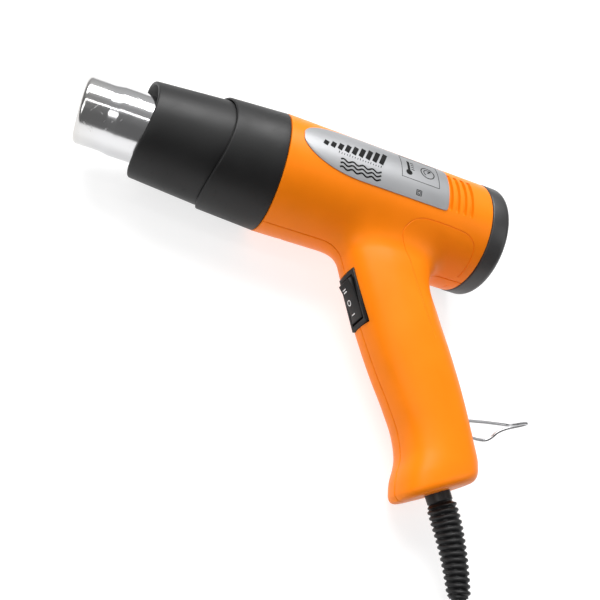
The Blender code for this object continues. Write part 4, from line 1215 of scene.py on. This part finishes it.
points, faces = [], []
for y in (-7.6, -6.2):
    mark([(y, -1.3), (y, 1.7)], 0.6, points, faces)
full_turn = np.linspace(0, 2 * math.pi, 25)
mark([(1.4 * math.sin(t), 1.4 * math.cos(t)) for t in full_turn], 0.5, points, faces)
mark([(6.8, -1.3), (6.8, 1.7)], 0.6, points, faces)
marks_aside = 2.4
points = [(x, y, z - marks_aside) for x, y, z in points]
piece("rocker_marks", points, faces, white, tool_axes @ rocker_place, body="rocker", sharp=20)
print("rocker faces:", len(rocker.data.polygons))

# %% [markdown]
# ## Wire loop and screws
# The loop is one bent steel wire whose feet turn outwards into the housing. A curve with a
# round bevel is the natural way to make wire. The six screws sit in wells in the right half;
# one head with a cross recess is made and copied to each place.

# %% Loop
steel = finish("drawn_steel", (0.50, 0.50, 0.51), (0.8, 0.8, 0.8), (0.2, 0.34), metallic=1.0,
               depth=0.00001, wear=0.3, scuffs=0.5, tone=0.1)
foot = [(0.0, 0.0, 10.8), (0.0, 0.0, 10.3), (0.1, 0.0, 9.7), (0.8, 0.05, 9.1)]
left_leg = foot + [(2.0, 0.3, 9.0), (11.0, 1.6, 9.0), (23.4, 2.9, 9.0), (26.6, 3.5, 8.3),
                   (32.5, 5.6, 5.2), (44.4, 10.1, 1.7)]
right_leg = foot + [(2.0, 0.1, 9.0), (11.0, 0.4, 9.2), (24.4, -0.2, 9.4), (27.4, 0.6, 8.6),
                    (32.5, 5.1, 5.0), (44.4, 9.9, 1.7)]
places = left_leg + [(46.5, 10.7, 0.8), (46.9, 10.8, 0.0), (46.5, 10.65, -0.8)]
places += [(x, y, -z) for x, y, z in reversed(right_leg)]
wire_r = 0.00085
wire = round_wire("hanging_wire", [tool_axes @ (loop_at + Vector(p)) for p in places], wire_r,
                  steel, "wire_loop", around=4, between_knots=8)
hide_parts("hanging_loop")

# %% Screws
zinc = finish("zinc_screw", (0.42, 0.42, 0.40), (0.75, 0.75, 0.74), (0.25, 0.42), metallic=1.0,
              grain=1400.0, depth=0.00001, wear=0.4, scuffs=0.5)
# (place along the screw, radius) from the tip to the head
screw_shape = [(9.0, 0.4), (7.5, 1.35), (-12.8, 1.35), (-12.8, 2.9), (-13.5, 2.9), (-14.3, 2.55),
               (-14.8, 1.8), (-15.0, 0.9), (-15.0, 0.3)]
screw_sides = 40
angles = [2 * math.pi * i / screw_sides for i in range(screw_sides)]
points = [(r * math.cos(a), r * math.sin(a), z) for z, r in screw_shape for a in angles]
for k, (x, y) in enumerate(screws):
    screw = rough(f"screw_{k + 1}", points, tube_faces(len(screw_shape), screw_sides))
    for size in ((3.4, 0.75, 1.6), (0.75, 3.4, 1.6)):
        carve(screw, "cross", [boxed(size, (0, 0, -14.6))])
    turn = Matrix.Rotation(0.7 + 1.3 * k, 4, "Z")
    screw.data.transform(tool_axes @ Matrix.Translation((x, y, 0)) @ turn)
    screw.data.materials.append(zinc)
    screw.data.set_sharp_from_angle(angle=math.radians(32))
    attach(screw, "tool")
    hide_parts(f"housing_screw_{k + 1}")
print("screws:", len(screws))

# %% [markdown]
# ## Finishes inside the tool
# The motor, fan, heater and board come straight from the frame: their shapes are right and they
# are seen only through the mouth and the inlet. They still get real finishes, built with the
# same recipe as the outside, so that a part taken out of the tool looks like itself.

# %% Inner finishes
inner = {
    "brass": finish("plated_brass", (0.62, 0.42, 0.16), (0.85, 0.68, 0.36), (0.22, 0.36),
                    metallic=1.0, depth=0.00001, scuffs=0.5),
    "mica": finish("mica_sheet", (0.42, 0.30, 0.15), (0.7, 0.6, 0.4), (0.3, 0.5), grain=300.0,
                   depth=0.00005, coat=0.3, tone=0.25),
    "ceramic": finish("heater_ceramic", (0.74, 0.71, 0.64), (0.9, 0.9, 0.86), (0.5, 0.65),
                      depth=0.00004, tone=0.08),
    "heater wire": finish("heater_wire", (0.20, 0.17, 0.15), (0.4, 0.36, 0.33), (0.35, 0.5),
                          metallic=1.0, tone=0.3),
    "motor steel": finish("motor_steel", (0.44, 0.44, 0.43), (0.7, 0.7, 0.7), (0.28, 0.42),
                          metallic=1.0, grain=700.0, depth=0.00001, scuffs=0.5),
    "copper": finish("winding_copper", (0.62, 0.23, 0.10), (0.85, 0.45, 0.28), (0.25, 0.4),
                     metallic=1.0, grain=600.0, depth=0.0001, tone=0.2, stretch=30.0),
    "nylon": finish("natural_nylon", (0.72, 0.71, 0.66), (0.85, 0.85, 0.82), (0.4, 0.55),
                    grain=1000.0, depth=0.00001, tone=0.06),
    "board": finish("board_lacquer", (0.02, 0.13, 0.05), (0.10, 0.30, 0.14), (0.25, 0.4),
                    grain=500.0, depth=0.00003, coat=0.3, tone=0.2),
    "blue resin": finish("capacitor_resin", (0.02, 0.06, 0.30), (0.2, 0.3, 0.6), (0.3, 0.42),
                         grain=700.0, depth=0.00001, tone=0.1),
    "black": guard_black,
}
wearers = {
    "mica": ["mica_cross", "mica_sleeve"],
    "ceramic": ["heater_base"],
    "heater wire": ["heater_coil_front", "heater_coil_rear"],
    "motor steel": ["motor_can", "motor_shaft"],
    "copper": ["motor_armature"],
    "nylon": ["motor_bracket", "motor_end_cap", "thermal_cutout"],
    "board": ["rectifier_board"],
    "blue resin": ["suppression_capacitor"],
    "black": ["fan_impeller", "diode_1", "diode_2", "diode_3", "diode_4"],
    "brass": ["switch_terminal_1", "switch_terminal_2", "switch_terminal_3", "plug_pin_1",
              "plug_pin_2"],
}
for key, names in wearers.items():
    for name in names:
        for slot in nodes[name].material_slots:
            slot.material = inner[key]
print("finished frame pieces:", sum(len(names) for names in wearers.values()))
